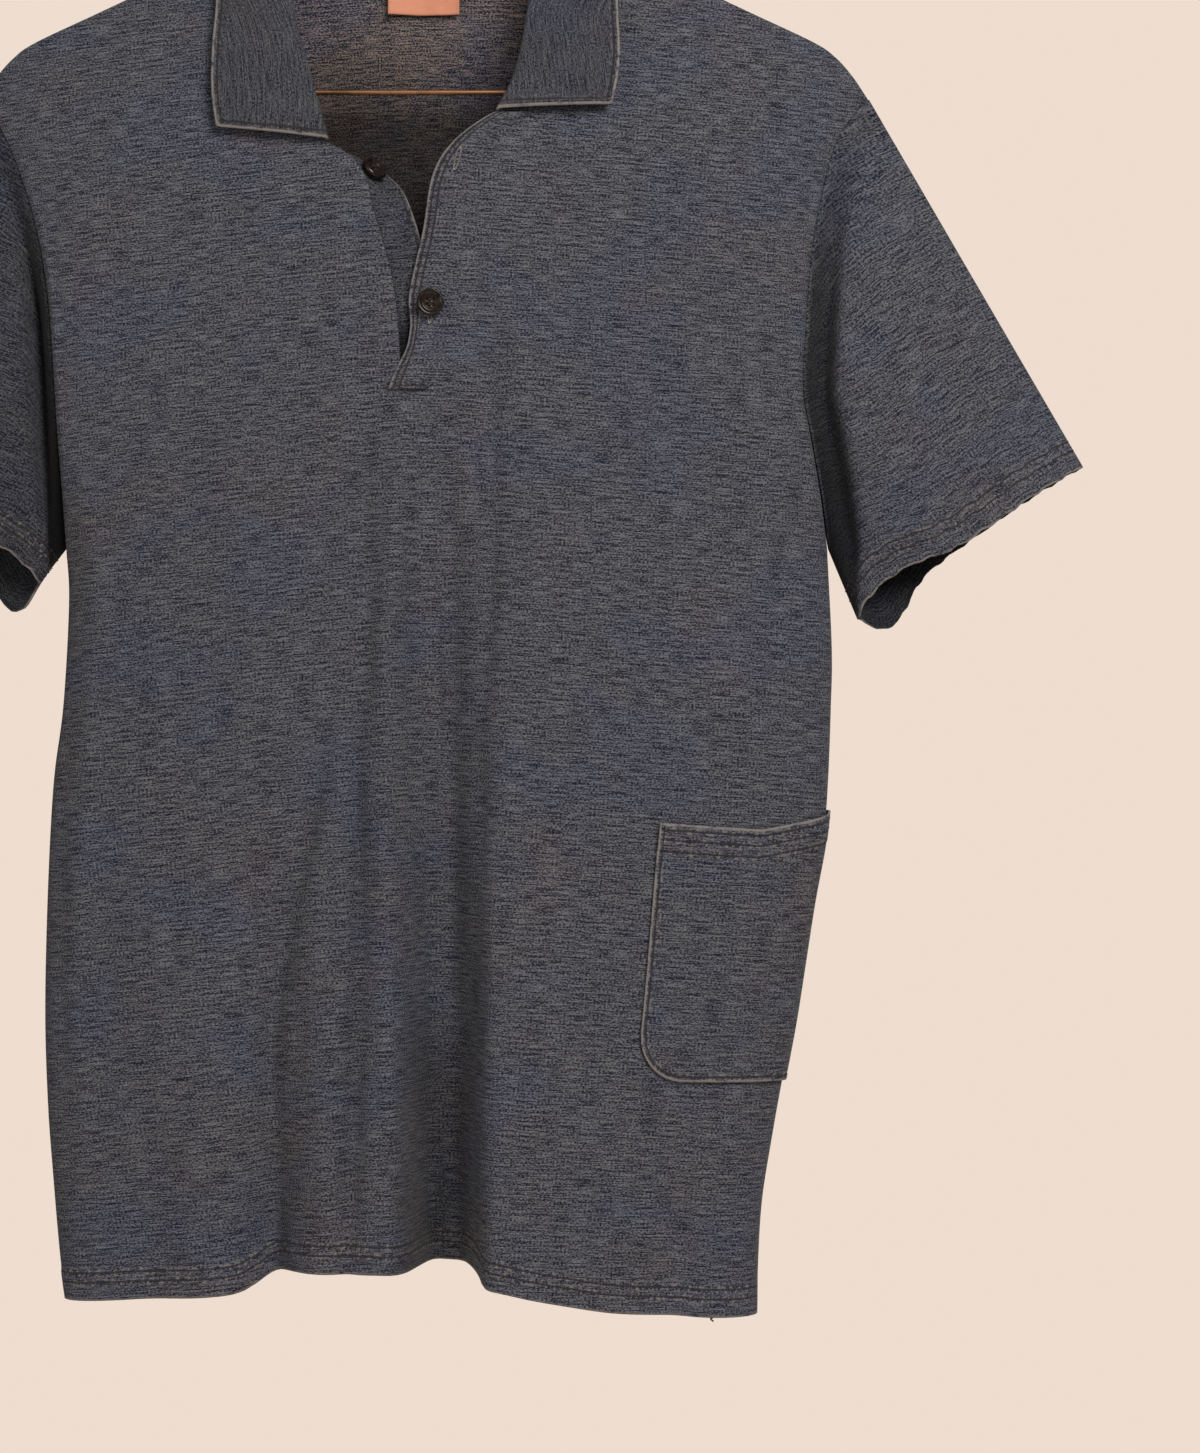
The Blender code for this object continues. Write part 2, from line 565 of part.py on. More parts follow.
def pocket_grid(grids):
    """Patch on the right half of the front, round the side seam and onto the back."""
    front, back = grids["front", "right"], grids["back", "right"]
    last = POCKET_FRONT_COLUMN
    fine = last - POCKET_FINE
    front_columns = np.concatenate([np.linspace(last, fine, 3 * POCKET_FINE + 1)[:-1],
                                    np.arange(fine, 0, -1)])
    back_columns = np.append(np.arange(1, int(POCKET_BACK_COLUMN) + 1), POCKET_BACK_COLUMN)
    columns = [(front, (0, -1, 0), c) for c in front_columns]
    columns += [(back, (0, 1, 0), c) for c in back_columns]
    rows = np.arange(front.shape[0], dtype=float)
    waist = len(rows) - LOW_ROWS // 2
    middles = [sample(grid, np.array([waist]), np.array([c]))[0] for grid, _, c in columns]
    reach = np.concatenate([[0], np.cumsum(np.linalg.norm(np.diff(middles, axis=0), axis=1))])
    layers = []
    for (grid, away, column), run in zip(columns, reach):
        share = run / reach[-1]
        short = max(POCKET_CORNER - run, 0.0)
        lift = POCKET_CORNER - (POCKET_CORNER**2 - short**2) ** 0.5
        top = np.interp(share, evenly(3), POCKET_TOP)
        bottom = np.interp(share, evenly(3), POCKET_BOTTOM) + lift
        line = sample(grid, rows, np.full(len(rows), float(column)))
        span = np.interp(-np.linspace(top, bottom, POCKET_STEPS), -line[:, 2], rows)
        at = np.full(len(span), float(column))
        direction = sample(grid_normals(grid, away), span, at)
        direction /= np.linalg.norm(direction, axis=1, keepdims=True)
        layers.append(sample(grid, span, at) + direction * (LAID + TRIM))
    return np.array(layers)


def label_grid(grids):
    """Bare label on the inside of the back, below the neck."""
    xs = np.linspace(-LABEL[0] / 2, LABEL[0] / 2, 4) + LABEL_SHIFT
    zs = LABEL_TOP - np.linspace(0, LABEL[1], 3)
    x, z = np.meshgrid(xs, zs)
    y = middle_depth(z, back=True) - CLOTH - LABEL_WALL - LAID - LABEL_BOW * x**2
    return np.stack([x, y, z], axis=2)


def add_button(name, centre, normal, surface):
    """A turned button with a raised rim round a sunk middle, its back to centre, facing normal."""
    x, y, z = centre
    radius = BUTTON / 2
    profile = ((radius - 2.6, BUTTON_THICK - 1.1), (radius - 1.6, BUTTON_THICK),
               (radius - 0.6, BUTTON_THICK), (radius, BUTTON_THICK - 0.8), (radius - 0.6, 0.0))
    mesh = bpy.data.meshes.new(name)
    bm = bmesh.new()
    rings = []
    for r, h in profile:
        rings.append([bm.verts.new((r * MM * cos(2 * pi * i / BUTTON_SIDES),
                                    r * MM * sin(2 * pi * i / BUTTON_SIDES), h * MM))
                      for i in range(BUTTON_SIDES)])
    for lower, upper in zip(rings, rings[1:]):
        for i in range(BUTTON_SIDES):
            j = (i + 1) % BUTTON_SIDES
            bm.faces.new((lower[i], lower[j], upper[j], upper[i]))
    bm.faces.new(rings[0])
    bm.faces.new(rings[-1][::-1])
    bmesh.ops.recalc_face_normals(bm, faces=bm.faces)
    bm.to_mesh(mesh)
    bm.free()
    mesh.shade_smooth()
    mesh.set_sharp_from_angle(angle=radians(40))
    button = make(name, mesh, surface)
    button.location = (x * MM, y * MM, z * MM)
    button.rotation_mode = "QUATERNION"
    button.rotation_quaternion = normal.to_track_quat("Z", "Y")
    return button


# ---------------------------------------------------------------- hanger
def arc(centre, radius, start, end, steps):
    """Points (x, z) on an arc, angles in degrees from +X."""
    return [(centre[0] + radius * cos(radians(a)), centre[1] + radius * sin(radians(a)))
            for a in np.linspace(start, end, steps)]


def hanger_route():
    """Middle of the wire: hook, stem, left arm, bar, right arm, and two turns round the stem."""
    hook = HOOK_RADIUS + WIRE / 2
    hook_centre = (0.0, -HOOK_RADIUS)
    slant = np.degrees(np.arctan(ARM_SLOPE))
    reach = (-BAR_HEIGHT + ARM_TOP) / ARM_SLOPE
    tangent = BEND_RADIUS / np.tan(radians(slant / 2))
    bend_x = reach - tangent
    points = [(x, 0.0, z) for x, z in arc(hook_centre, hook, *HOOK_ANGLES, 20)]
    end_x, _, end_z = points[-1]
    for t in STEM_EASE:
        points.append((end_x * (1 - t) ** 2, 0.0, end_z + (STEM_TOP - end_z) * t))
    points += [(0.0, 0.0, z) for z in np.linspace(STEM_TOP, ARM_TOP + WIRE, 4)]
    points.append((-ARM_START, 0.0, ARM_TOP - ARM_SLOPE * ARM_START))
    bend = [(-bend_x + BEND_RADIUS * cos(radians(a)),
             BAR_HEIGHT + BEND_RADIUS + BEND_RADIUS * sin(radians(a)))
            for a in np.linspace(90 + slant, 270, 9)]
    points += [(x, 0.0, z) for x, z in bend]
    points += [(-x, 0.0, z) for x, z in bend[::-1]]
    elbow = COIL_SPACING + ELBOW
    points.append((elbow, 0.0, ARM_TOP - ARM_SLOPE * elbow))
    points.append((COIL_SPACING + 0.4 * WIRE, 0.0, ARM_TOP + WIRE))
    for i in range(COIL_STEPS + 1):
        angle = 2 * pi * i / 12
        points.append((COIL_SPACING * cos(angle), -COIL_SPACING * sin(angle),
                       COIL_FOOT + COIL_PITCH * i / 12))
    return points


def add_hanger(surface):
    route = hanger_route()
    curve = bpy.data.curves.new("hanger", "CURVE")
    curve.dimensions = "3D"
    curve.bevel_depth = WIRE / 2 * MM
    curve.bevel_resolution = 2
    curve.use_fill_caps = True
    spline = curve.splines.new("POLY")
    spline.points.add(len(route) - 1)
    for point, place in zip(spline.points, route):
        point.co = (*(v * MM for v in place), 1.0)
    hanger = bpy.data.objects.new("hanger", curve)
    bpy.context.collection.objects.link(hanger)
    curve.materials.append(surface)
    return hanger


# ---------------------------------------------------------------- the shirt
def build():
    for old in list(bpy.data.objects):
        bpy.data.objects.remove(old, do_unlink=True)
    grids = body_grids()
    knit = {name: material(name, KNIT, 0.92)
            for name in ("front", "back", "sleeve_left", "sleeve_right", "collar",
                         "placket_top", "placket_under", "pocket")}

    def facing(y):
        return lambda point: Vector((0, y, 0))

    for name, y in (("front", -1), ("back", 1)):
        mesh = sheet_mesh(name, [grids[name, "left"], grids[name, "right"]], facing(y))
        make(name, mesh, knit[name], CLOTH)
    for hand, cuff_front, cuff_back in (("left", CUFF_LEFT_FRONT, CUFF_LEFT_BACK),
                                        ("right", CUFF_RIGHT_FRONT, CUFF_RIGHT_BACK)):
        name = "sleeve_" + hand
        add_sleeve(name, grids, hand, cuff_front, cuff_back, knit[name])

    def round_neck(point):
        return Vector((point.x, point.y * 3, 0.05))

    make("collar", sheet_mesh("collar", [collar_grid(grids)], round_neck), knit["collar"], CLOTH)
    top = placket_top_grid(grids)
    make("placket_top", sheet_mesh("placket_top", [top], facing(-1)), knit["placket_top"], TRIM)
    under = placket_under_grid(grids)
    make("placket_under", sheet_mesh("placket_under", [under], facing(-1)),
         knit["placket_under"], TRIM)

    def round_side(point):
        return Vector((point.x - 0.15, point.y * 3, 0))

    make("pocket", sheet_mesh("pocket", [pocket_grid(grids)], round_side), knit["pocket"], TRIM)
    make("label", sheet_mesh("label", [label_grid(grids)], facing(-1)),
         material("label", LABEL_CLOTH, 0.6), LABEL_WALL)
    shell = material("button", HORN, 0.25)
    x, z = BUTTON_LOWER
    y = -middle_depth(z, back=False) - 2 * LAID - TRIM - BUTTON / 2 * abs(BUTTON_TILT)
    add_button("button_lower", (x, y, z), Vector((BUTTON_TILT, -1, 0)), shell)
    row = BUTTON_UPPER_ROW * SLIT_ROWS
    seat = sample(under, np.array([row]), np.array([BUTTON_COLUMN]))[0]
    normal = grid_normals(under, (0, -1, 0))
    direction = sample(normal, np.array([row]), np.array([BUTTON_COLUMN]))[0]
    seat = seat + direction / np.linalg.norm(direction) * BUTTON_STANDOFF
    add_button("button_upper", seat, Vector(direction), shell)
    add_hanger(material("hanger_wire", COPPER, 0.35, 1.0))


build()
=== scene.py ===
"""Looks of a polo shirt on a wire hanger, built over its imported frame.

Frame: metres, +X is the viewer's right, -Y faces the viewer, +Z is up, and the origin is the inner
top of the hanger's hook.  Tables and shape functions are in millimetres.  A cloth piece is a grid
surface, a function of a row number and a share across, with a thin wall put on by Solidify.
"""
from math import pi, radians

import bmesh
import bpy
import numpy as np
from bpy.props import FloatProperty, FloatVectorProperty, PointerProperty
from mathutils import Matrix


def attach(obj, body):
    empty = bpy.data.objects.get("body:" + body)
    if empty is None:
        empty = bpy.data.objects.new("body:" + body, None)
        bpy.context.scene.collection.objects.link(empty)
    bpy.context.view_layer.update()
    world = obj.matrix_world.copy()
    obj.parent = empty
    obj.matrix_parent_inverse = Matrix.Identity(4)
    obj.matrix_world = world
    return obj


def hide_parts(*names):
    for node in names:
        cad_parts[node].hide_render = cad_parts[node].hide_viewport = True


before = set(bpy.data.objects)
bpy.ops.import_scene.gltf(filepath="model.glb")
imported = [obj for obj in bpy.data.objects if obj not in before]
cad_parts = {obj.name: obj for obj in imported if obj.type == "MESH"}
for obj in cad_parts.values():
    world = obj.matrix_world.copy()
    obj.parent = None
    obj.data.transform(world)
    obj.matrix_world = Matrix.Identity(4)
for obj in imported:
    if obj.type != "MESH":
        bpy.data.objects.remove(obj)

bl_info = {
    "name": "Polo shirt on a wire hanger",
    "version": (1, 0, 0),
    "blender": (4, 5, 0),
    "location": "3D View > Sidebar > Shirt",
    "description": "Builds the cloth, trims, buttons and hanger of a hung polo shirt",
    "category": "Object",
}

MM = 0.001
BODY = "root"

# ---------------------------------------------------------------- sizes shared with the frame (mm)
CLOTH = 1.8                 # wall that the frame gives the knit; the seams are spaced for it
TRIM = 1.4
LABEL_WALL = 1.0
SEAM = 0.7
LAID = 0.6
WIRE = 3.0
RIDGE = WIRE / 2 + 0.6 + CLOTH
ARM_TOP = -86.0
ARM_SLOPE = 0.47
BAR_HEIGHT = -205.0
BEND_RADIUS = 12.0
HOOK_RADIUS = 20.0
NECK_ROWS, SLIT_ROWS, LOW_ROWS = 6, 7, 15       # row numbers spent on neck, slit and below
ARM_ROWS = NECK_ROWS + SLIT_ROWS
LAST_ROW = ARM_ROWS + LOW_ROWS
FRONT_COLUMNS, BACK_COLUMNS = 20, 16
FRONT_FINE, BACK_FINE = 5, 4                    # grid columns per column number
EDGE_REST = (0.25, 1.6)
PROFILE_POWER = 2.4
CAP_ANGLES = (7.0, 10.0, 16.0, 26.0, 37.0, 48.0)

SHOULDER = ((72, -119.8), (120, -142.4), (170, -165.9), (204, -181.9), (215, -189.5),
            (223.5, -199.0), (231.5, -211.0))
ARMHOLE_RIGHT = ((231.5, 3.9, -211), (215.2, 12, -238), (204.0, 18, -289), (199.8, 20, -339),
                 (199.0, 19, -366), (203.0, 16, -388), (209.0, 9, -420), (213.0, 1.6, -447))
ARMHOLE_LEFT = ((-231.5, 3.9, -211), (-216.0, 12, -240), (-203.5, 18, -276), (-196.5, 20, -312),
                (-193.5, 20, -350), (-191.5, 17, -390), (-190.0, 9, -424), (-189.5, 1.6, -447))
SIDE_RIGHT = ((213, -447), (215.5, -500), (215, -530), (213.5, -570), (211, -600), (205, -633),
              (200, -665), (195, -697), (189, -729), (183.5, -760), (178.5, -792), (176.5, -824),
              (176, -850))
SIDE_LEFT = ((-189.5, -447), (-188, -475), (-191, -530), (-196, -570), (-199, -625),
             (-200.5, -690), (-199, -740), (-196, -780), (-193, -815), (-190, -842))
NECK_FRONT_RIGHT = ((72, -119.8), (75, -141), (72, -168), (62, -197), (45, -219.4))
NECK_FRONT_LEFT = ((-72, -119.8), (-75, -143), (-75, -171), (-66.5, -204), (-54, -235.2))
SLIT_RIGHT = ((45, -219.4), (22.5, -237.6), (11.8, -255.4), (7, -284), (0.5, -313.7),
              (-4, -345), (-10.4, -366.7))
SLIT_LEFT = ((-54, -235.2), (-37.3, -244.2), (-28.4, -257.1), (-24.4, -274), (-15.5, -305.5),
             (-11.7, -335), (-10.4, -366.7))
CENTRE_FRONT = ((-10.4, -366.7), (-2, -392), (6, -440), (10, -540), (12, -680), (12, -822))
NECK_BACK = ((72, 3.9, -119.8), (60, 15, -126), (36, 22, -132), (0, 25, -134))
CENTRE_BACK = ((0, -134), (0, -300), (2, -560), (2, -828))
HEM_FRONT_LEFT = ((-190, -842), (-150, -838.5), (-100, -834.5), (-87, -830.5), (-77, -825),
                  (-62, -822.5), (-15, -822), (12, -822))
HEM_FRONT_RIGHT = ((176, -850), (140, -847.5), (95, -843), (45, -832), (34, -829.5), (28, -823),
                   (12, -822))
LOOSE_THREAD = ((151.0, -14.0, -845.0), (150.6, -15.6, -848.2), (152.4, -16.4, -848.8),
                (152.0, -17.0, -850.6), (150.8, -16.2, -851.6), (152.2, -15.6, -853.0))
LOOSE_RADIUS = 0.42
HEM_BACK_LEFT = ((-190, -842), (-110, -836), (-60, -830), (2, -828))
HEM_BACK_RIGHT = ((176, -850), (110, -838), (60, -830), (2, -828))
DEPTH = ((-119.8, 3.9, 3.9), (-134, 10, 25), (-165, 18, 27), (-200, 26, 29), (-229, 30, 31),
         (-300, 34, 34), (-362, 37, 37), (-450, 40, 40), (-600, 44, 43), (-850, 47, 46))

# Hanging folds: x at the start and at the hem, start height, half width, depth at the hem
# (inwards is positive), the power by which it grows on the way down, and how much squarer it is
# at the hem.
FRONT_FOLDS = (
    (7, 13.5, -376, 15.5, 41, 0.8, 1.6), (-72, -78, -600, 14, 21, 1.1, 0),
    (-30, -34, -400, 22, -6, 0.8, 0), (54, 52, -420, 22, -6, 0.8, 0),
    (120, 126, -640, 20, 8, 1.2, 0), (-140, -140, -700, 18, 6, 1.2, 0))
BACK_FOLDS = (
    (62, 70, -420, 20, 26, 1.0, 0), (-70, -62, -460, 22, 24, 1.0, 0), (0, 4, -520, 22, -6, 1.0, 0),
    (-135, -138, -600, 16, 10, 1.1, 0), (135, 130, -640, 16, 9, 1.1, 0))
HEM_HEIGHT = -840.0

# Creases laid on one by one: (x, z) of both ends, half width and depth, inwards positive.
FRONT_CREASES = (
    (-12, -356, -15, -560, 7, -3.8), (-15, -540, -15, -855, 7.5, -4.4),
    (-27, -352, -31, -560, 5.5, 3.8), (-32, -545, -36, -850, 5.5, 6.6), (37, -350, 31.5, -560, 6, 5.0),
    (31, -540, 27, -740, 6, 5.0), (6, -420, 5, -640, 8, -4.0), (-2, -700, -3, -870, 8, 8.5),
    (-50, -535, -78, -712, 5.5, 4.6), (-77, -690, -77, -860, 5.5, 4.2), (9, -430, 9, -640, 3.5, 2.2),
    (-52, -620, -54, -850, 8, -1.9), (36, -560, 38, -860, 6, -1.8), (-188, -560, -190, -860, 14, -2.5),
    (-175, -430, -177, -760, 7, -1.8), (-186, -470, -189, -800, 4, 1.6), (132, -720, 136, -870, 8, 2.2),
    (94, -600, 96, -720, 8, 1.6), (203, -392, 176, -520, 8, 2.0), (196, -330, 190, -480, 6, -1.4),
    (-184, -370, -170, -500, 6, -1.3), (-120, -640, -116, -850, 9, -1.5), (78, -300, 92, -470, 14, 0.8),
    (-110, -300, -124, -520, 15, 0.8), (150, -480, 158, -600, 10, -0.9), (60, -240, 30, -330, 9, -0.8),
    (-62, -732, -38, -776, 5, 1.5), (-60, -790, -44, -818, 4, 1.3))
BACK_CREASES = (
    (-196, -360, -150, -520, 9, 2.4), (200, -370, 160, -540, 9, 2.2), (20, -170, 26, -420, 12, -1.2),
    (-36, -180, -46, -470, 10, 1.2), (100, -230, 110, -520, 12, 1.6), (-104, -240, -112, -560, 12, -1.4),
    (38, -520, 40, -850, 8, -2.2), (-34, -560, -30, -850, 8, -2.0), (95, -600, 98, -860, 9, -1.8),
    (-96, -640, -92, -850, 8, -1.8), (165, -640, 160, -850, 8, 1.6), (-165, -600, -168, -840, 8, 1.4),
    (70, -330, 66, -480, 9, 1.4), (-72, -380, -70, -520, 8, 1.4))
# Painted shade in a panel's folds, listed in the same way, with the share that it darkens by for the depth.
FRONT_PAINTED_SHADE = ((0, -690, 3, -870, 12, 0.85), (26, -440, 20, -870, 8, 0.22), (-54, -580, -74, -712, 5, 0.3),
             (-73, -690, -72, -860, 5, 0.4), (-30, -480, -36, -850, 4.5, 0.3))
BACK_PAINTED_SHADE = ((66, -560, 70, -860, 14, 0.6), (-66, -580, -62, -860, 14, 0.6))
SLEEVE_CREASES = {
    ("right", -1): ((262, -262, 240, -395, 9, -1.8), (283, -300, 262, -430, 8, 1.2),
                    (308, -350, 290, -430, 10, -0.9)),
    ("right", 1): ((270, -290, 250, -430, 9, -1.8),
                   (300, -340, 284, -440, 9, 1.2)),
    ("left", -1): ((-262, -268, -238, -420, 8, -2.0),
                   (-286, -310, -262, -430, 7, 1.6), (-310, -340, -300, -410, 9, -1.0)),
    ("left", 1): ((-266, -290, -248, -430, 9, -1.8),
                  (-300, -336, -282, -430, 9, 1.3)),
}

# The trough that each layer of a sleeve sinks into beside the armhole: how far out it is deepest,
# its half widths towards the body and the cuff, and the share of the depth that it takes.
TROUGH = {("right", -1): (12.0, 8.0, 4.5, 0.58), ("right", 1): (12.0, 8.0, 7.0, 0.4),
          ("left", -1): (8.0, 4.5, 4.0, 0.64), ("left", 1): (11.0, 7.0, 7.0, 0.4)}
TROUGH_TURNS = (0.08, 0.45, 0.86, 0.99)     # shares round the armhole: none, full, full, none
# Painted shade in the trough: distances from the armhole at which it is full and at which it ends.
TROUGH_PAINTED_SHADE = {("right", -1): (2.5, 16.5), ("right", 1): (4.0, 16.0),
            ("left", -1): (1.0, 9.5), ("left", 1): (4.0, 15.0)}
CUFF_RIGHT_FRONT = ((348.7, -403.3), (322, -419), (299.5, -434.6), (278.3, -448), (257, -456),
                    (242.7, -465), (233.2, -475.4), (229, -484))
CUFF_RIGHT_BACK = ((348.7, -403.3), (322, -420), (299.5, -435.7), (272, -456), (262.4, -467),
                   (254, -482), (243.8, -489.5), (229, -484))
CUFF_LEFT_FRONT = ((-344, -392), (-318, -406), (-288, -420), (-258, -431), (-233, -441),
                   (-219, -449), (-210, -457), (-204, -465))
CUFF_LEFT_BACK = ((-344, -392), (-318, -408), (-288, -424), (-258, -440), (-238, -458),
                  (-226, -476), (-215, -479), (-204, -465))
CUFF_DEPTH_FRONT = 15.0
CUFF_DEPTH_BACK = 21.0
SLEEVE_SWELL = 7.0

# Collar: share of its length, fold (x, y, z), outer edge (x, y, z), left front end to right.
COLLAR = (
    (0.00, -47.8, -33.5, -236.5, -106.3, -33.5, -230.0),
    (0.07, -54.0, -31.5, -214.0, -109.0, -32.0, -210.2),
    (0.14, -60.6, -27.5, -190.5, -109.2, -27.5, -187.6),
    (0.21, -67.2, -21.5, -161.9, -108.1, -20.5, -161.7),
    (0.25, -64.5, -13.5, -116.5, -109.0, -18.5, -131.5),
    (0.285, -67.0, 0.0, -98.0, -107.5, 0.0, -125.5),
    (0.33, -62.0, 16.0, -98.0, -102.0, 17.0, -141.0),
    (0.41, -36.0, 29.0, -102.0, -62.0, 37.0, -154.0),
    (0.50, 0.0, 32.5, -104.0, 0.0, 39.5, -157.0),
    (0.59, 36.0, 29.0, -102.0, 62.0, 37.0, -154.0),
    (0.67, 62.0, 16.0, -98.0, 102.0, 17.0, -141.0),
    (0.715, 68.0, 0.0, -98.0, 106.0, 0.0, -125.5),
    (0.75, 64.2, -13.0, -119.5, 104.0, -15.5, -133.5),
    (0.80, 55.5, -21.5, -161.9, 102.2, -20.5, -161.7),
    (0.88, 51.2, -26.5, -188.3, 103.2, -27.5, -188.9),
    (0.94, 46.4, -29.5, -205.7, 101.6, -30.5, -206.0),
    (1.00, 38.7, -31.5, -220.7, 98.9, -32.5, -218.2),
)
COLLAR_SEAM = 0.9
COLLAR_EASE = 0.7
COLLAR_ROLL = 2.3
COLLAR_BOW = 1.4

STRIP_WIDTH = 24.0
STRIP_LAP = 6.0
STRIP_TOP = -221.5
UNDER_LAP = 4.0
UNDER_TURN = ((0, 80), (0.14, 68), (0.25, 36), (0.36, 8), (0.5, 0))
BUTTON = 14.0
BUTTON_WELL = 1.35          # how far each well lies from the middle, to the side and up
BUTTON_LOWER = (5.1, -321.9)
BUTTON_TILT = 0.12
BUTTON_UPPER_ROW = 0.2
BUTTON_UPPER_COLUMN = 7.4
BUTTON_STANDOFF = 2.0
SLOT_GAPE = 3.0             # how far the top strip's free edge curls back near its foot
POCKET_FRONT_COLUMN = 10.0
POCKET_BACK_COLUMN = 5.2
POCKET_TOP = (-590.7, -594.5, -585.0, -587.0)
POCKET_BOTTOM = (-724.0, -725.5, -727.0, -727.0)
POCKET_CORNER = 26.0
LABEL = (38.0, 19.0)
LABEL_SHIFT = -2.0
LABEL_TOP = -139.5
LABEL_BOW = 0.009

# ---------------------------------------------------------------- sizes of the looks alone (mm)
CURVE_STEPS = 12                        # points of a smooth curve between two given ones
ROW_STEP = 0.2                          # fine rows' spacing in row numbers
HEM_BAND, HEM_BAND_ROWS = 0.8, 20       # row numbers and fine rows of the hem's finer band
EVEN_COLUMNS = 0.35                     # share of even spacing among the columns
MEANDER, MEANDER_TURNS = 0.33, 5.2      # a crease's sideways wander, in half widths and radians
SWELL, SWELL_TURNS = 0.25, 9.0          # how much its depth comes and goes, and how often
CREASE_REACH, CREASE_END = 0.46, 5      # half its length, and how sharply its ends fade
CREASE_TAPER = (0.8, 0.4)               # its width at the start, and what it gains on the way
CREASE_FROM_SIDE, CREASE_FROM_TOP = 1.7, 2.5
SLACK = 0.3                             # height of each wave of the cloth's slow unevenness
SLACK_WAVES = ((0.071, 0.017, 0.8), (0.043, -0.039, 2.1), (0.103, 0.006, 4.0))
WELT, WELT_AWAY, WELT_WIDTH = 0.75, 4.2, 2.3        # the seam allowance beside the armhole
WELT_UNEVEN, WELT_WAVES = 0.3, (0.31, 0.083)
HEM_FOLD, HEM_FOLD_STEP = 15.5, 0.7     # height of the doubled hem's top, and how soft its step is
DROOP = {"left": 0.115, "right": 0.07}  # how the courses sink to the sides, and where they turn
DROOP_SPAN = 30.0
SLEEVE_RINGS, CUFF_RINGS, CUFF_SHARE = 46, 18, 0.9
CUFF_WELT = 0.3
CUFF_WAVES = ((0.45, 0.43, 0.0), (0.2, 0.79, 1.0))
TUCK = (2.3, 1.5)                       # how far the sleeve's first ring goes in and under
ROLL_STEPS, STAND_STEPS = 9, 7
LEAF_STEPS, RIM_STEPS, RIM_SHARE = 22, 12, 0.86
COLLAR_LEAN = 70.0                      # degrees that the stand leans out at most
COLLAR_STITCH = 3.2
COLLAR_LEAF = 15                        # the leaf's first column
STRIP_ROWS = 90
RIM_AWAY, RIM_WIDTH = 0.9, 0.8          # a rolled rim: how far in it is highest, and half its width
STRIP_ROLL = 0.5
STRIP_GROOVES = ((2.3, 0.3), (5.2, 0.25))           # stitched rows: distance from the rim, depth
FOOT_ROW = 1.6
GROOVE_WIDTH = 0.6
STRIP_LAID, STRIP_LAY = 12.0, 10.0      # where the strip starts to lie down, and over what width
STRIP_SUNK = 0.25
SLOT_AT, SLOT_HALF, SLOT_WIDTH = 135.0, 14.0, 9.0
# Where a painted shade starts down the under strip, and over what length it comes in.
UNDER_PAINTED_SHADE, UNDER_PAINTED_SHADE_FADE = 106.0, 16.0
UNDER_RIM = 0.35
POCKET_WAIST = -660.0                   # height at which the pocket's width is measured
POCKET_ROWS = (3.5, 8.7, 14.7)          # stitched rows of its top band, which is BAND deep
POCKET_STITCH = 2.6                     # row inside the rims of the pocket and the lower strip
BAND, BAND_LIFT, BAND_STEP = 15.0, 0.5, 0.6
CUFF_ROWS = (10.5, 16.0)
BUTTONHOLES = ((18.8, -246.5, 6.0, 0.25), (5.3, -323.5, 9.0, 0.1))      # x, z, half length, lean
STITCH_RINGS, STITCH_SIDES = 5, 5
GLINT = 0.2                             # strength of the knit's surface reflection
FLUFF = 0.08                            # and of its sheen
COURSE_PITCH = 0.00265                  # distance between the knit's rows, in metres
WALE_PITCH = 0.0012                     # and between its columns
LIGHTER, DARKER = 1.55, -2.3            # how fast a streak's tone turns light or dark
SHADE_HEIGHTS = (-0.235, -0.165)        # where the inside's painted shade comes in, in metres

# Camera and backdrop, in metres.
CAMERA_PLACE = (0.09275, -1.5, -0.541)
IMAGE_HEIGHT = 1453
MM_PER_PIXEL = 0.53
SENSOR = 24.0
FLOOR_HEIGHT = -1.32
FLOOR_RADIUS = 1.25
SOFTBOXES = (               # name, place, aim, width and watts
    ("key_softbox", (0.95, -2.0, 0.7), (0.0, 0.0, -0.5), 1.1, 41.0),
    ("fill_softbox", (-1.5, -1.8, -0.35), (0.0, 0.0, -0.6), 1.6, 9.0),
    ("back_softbox", (0.4, 2.2, 0.6), (0.0, 0.0, -0.5), 1.8, 30.0))
SOFTBOX_TINT = (1.0, 0.955, 0.91)


# ---------------------------------------------------------------- settings
class ShirtSizes(bpy.types.PropertyGroup):
    """Sizes that a user would change."""
    wall: FloatProperty(name="Knit wall", description="Thickness of the knitted cloth",
                        default=0.0012, min=0.0006, max=0.0018, unit="LENGTH")
    trim_wall: FloatProperty(name="Trim wall", description="Thickness of placket strips and pocket",
                             default=0.0011, min=0.0006, max=0.0014, unit="LENGTH")
    hem_low: FloatProperty(name="Lower hem row", description="Height of the hem's lower stitch row",
                           default=0.0095, unit="LENGTH")
    hem_high: FloatProperty(name="Upper hem row", description="Height of the hem's upper stitch row",
                            default=0.0145, unit="LENGTH")
    stitch: FloatProperty(name="Stitch pitch", description="Distance from one stitch to the next",
                          default=0.0029, min=0.002, unit="LENGTH")
    thread: FloatProperty(name="Thread radius", description="Half the thickness of sewing thread",
                          default=0.00024, unit="LENGTH")


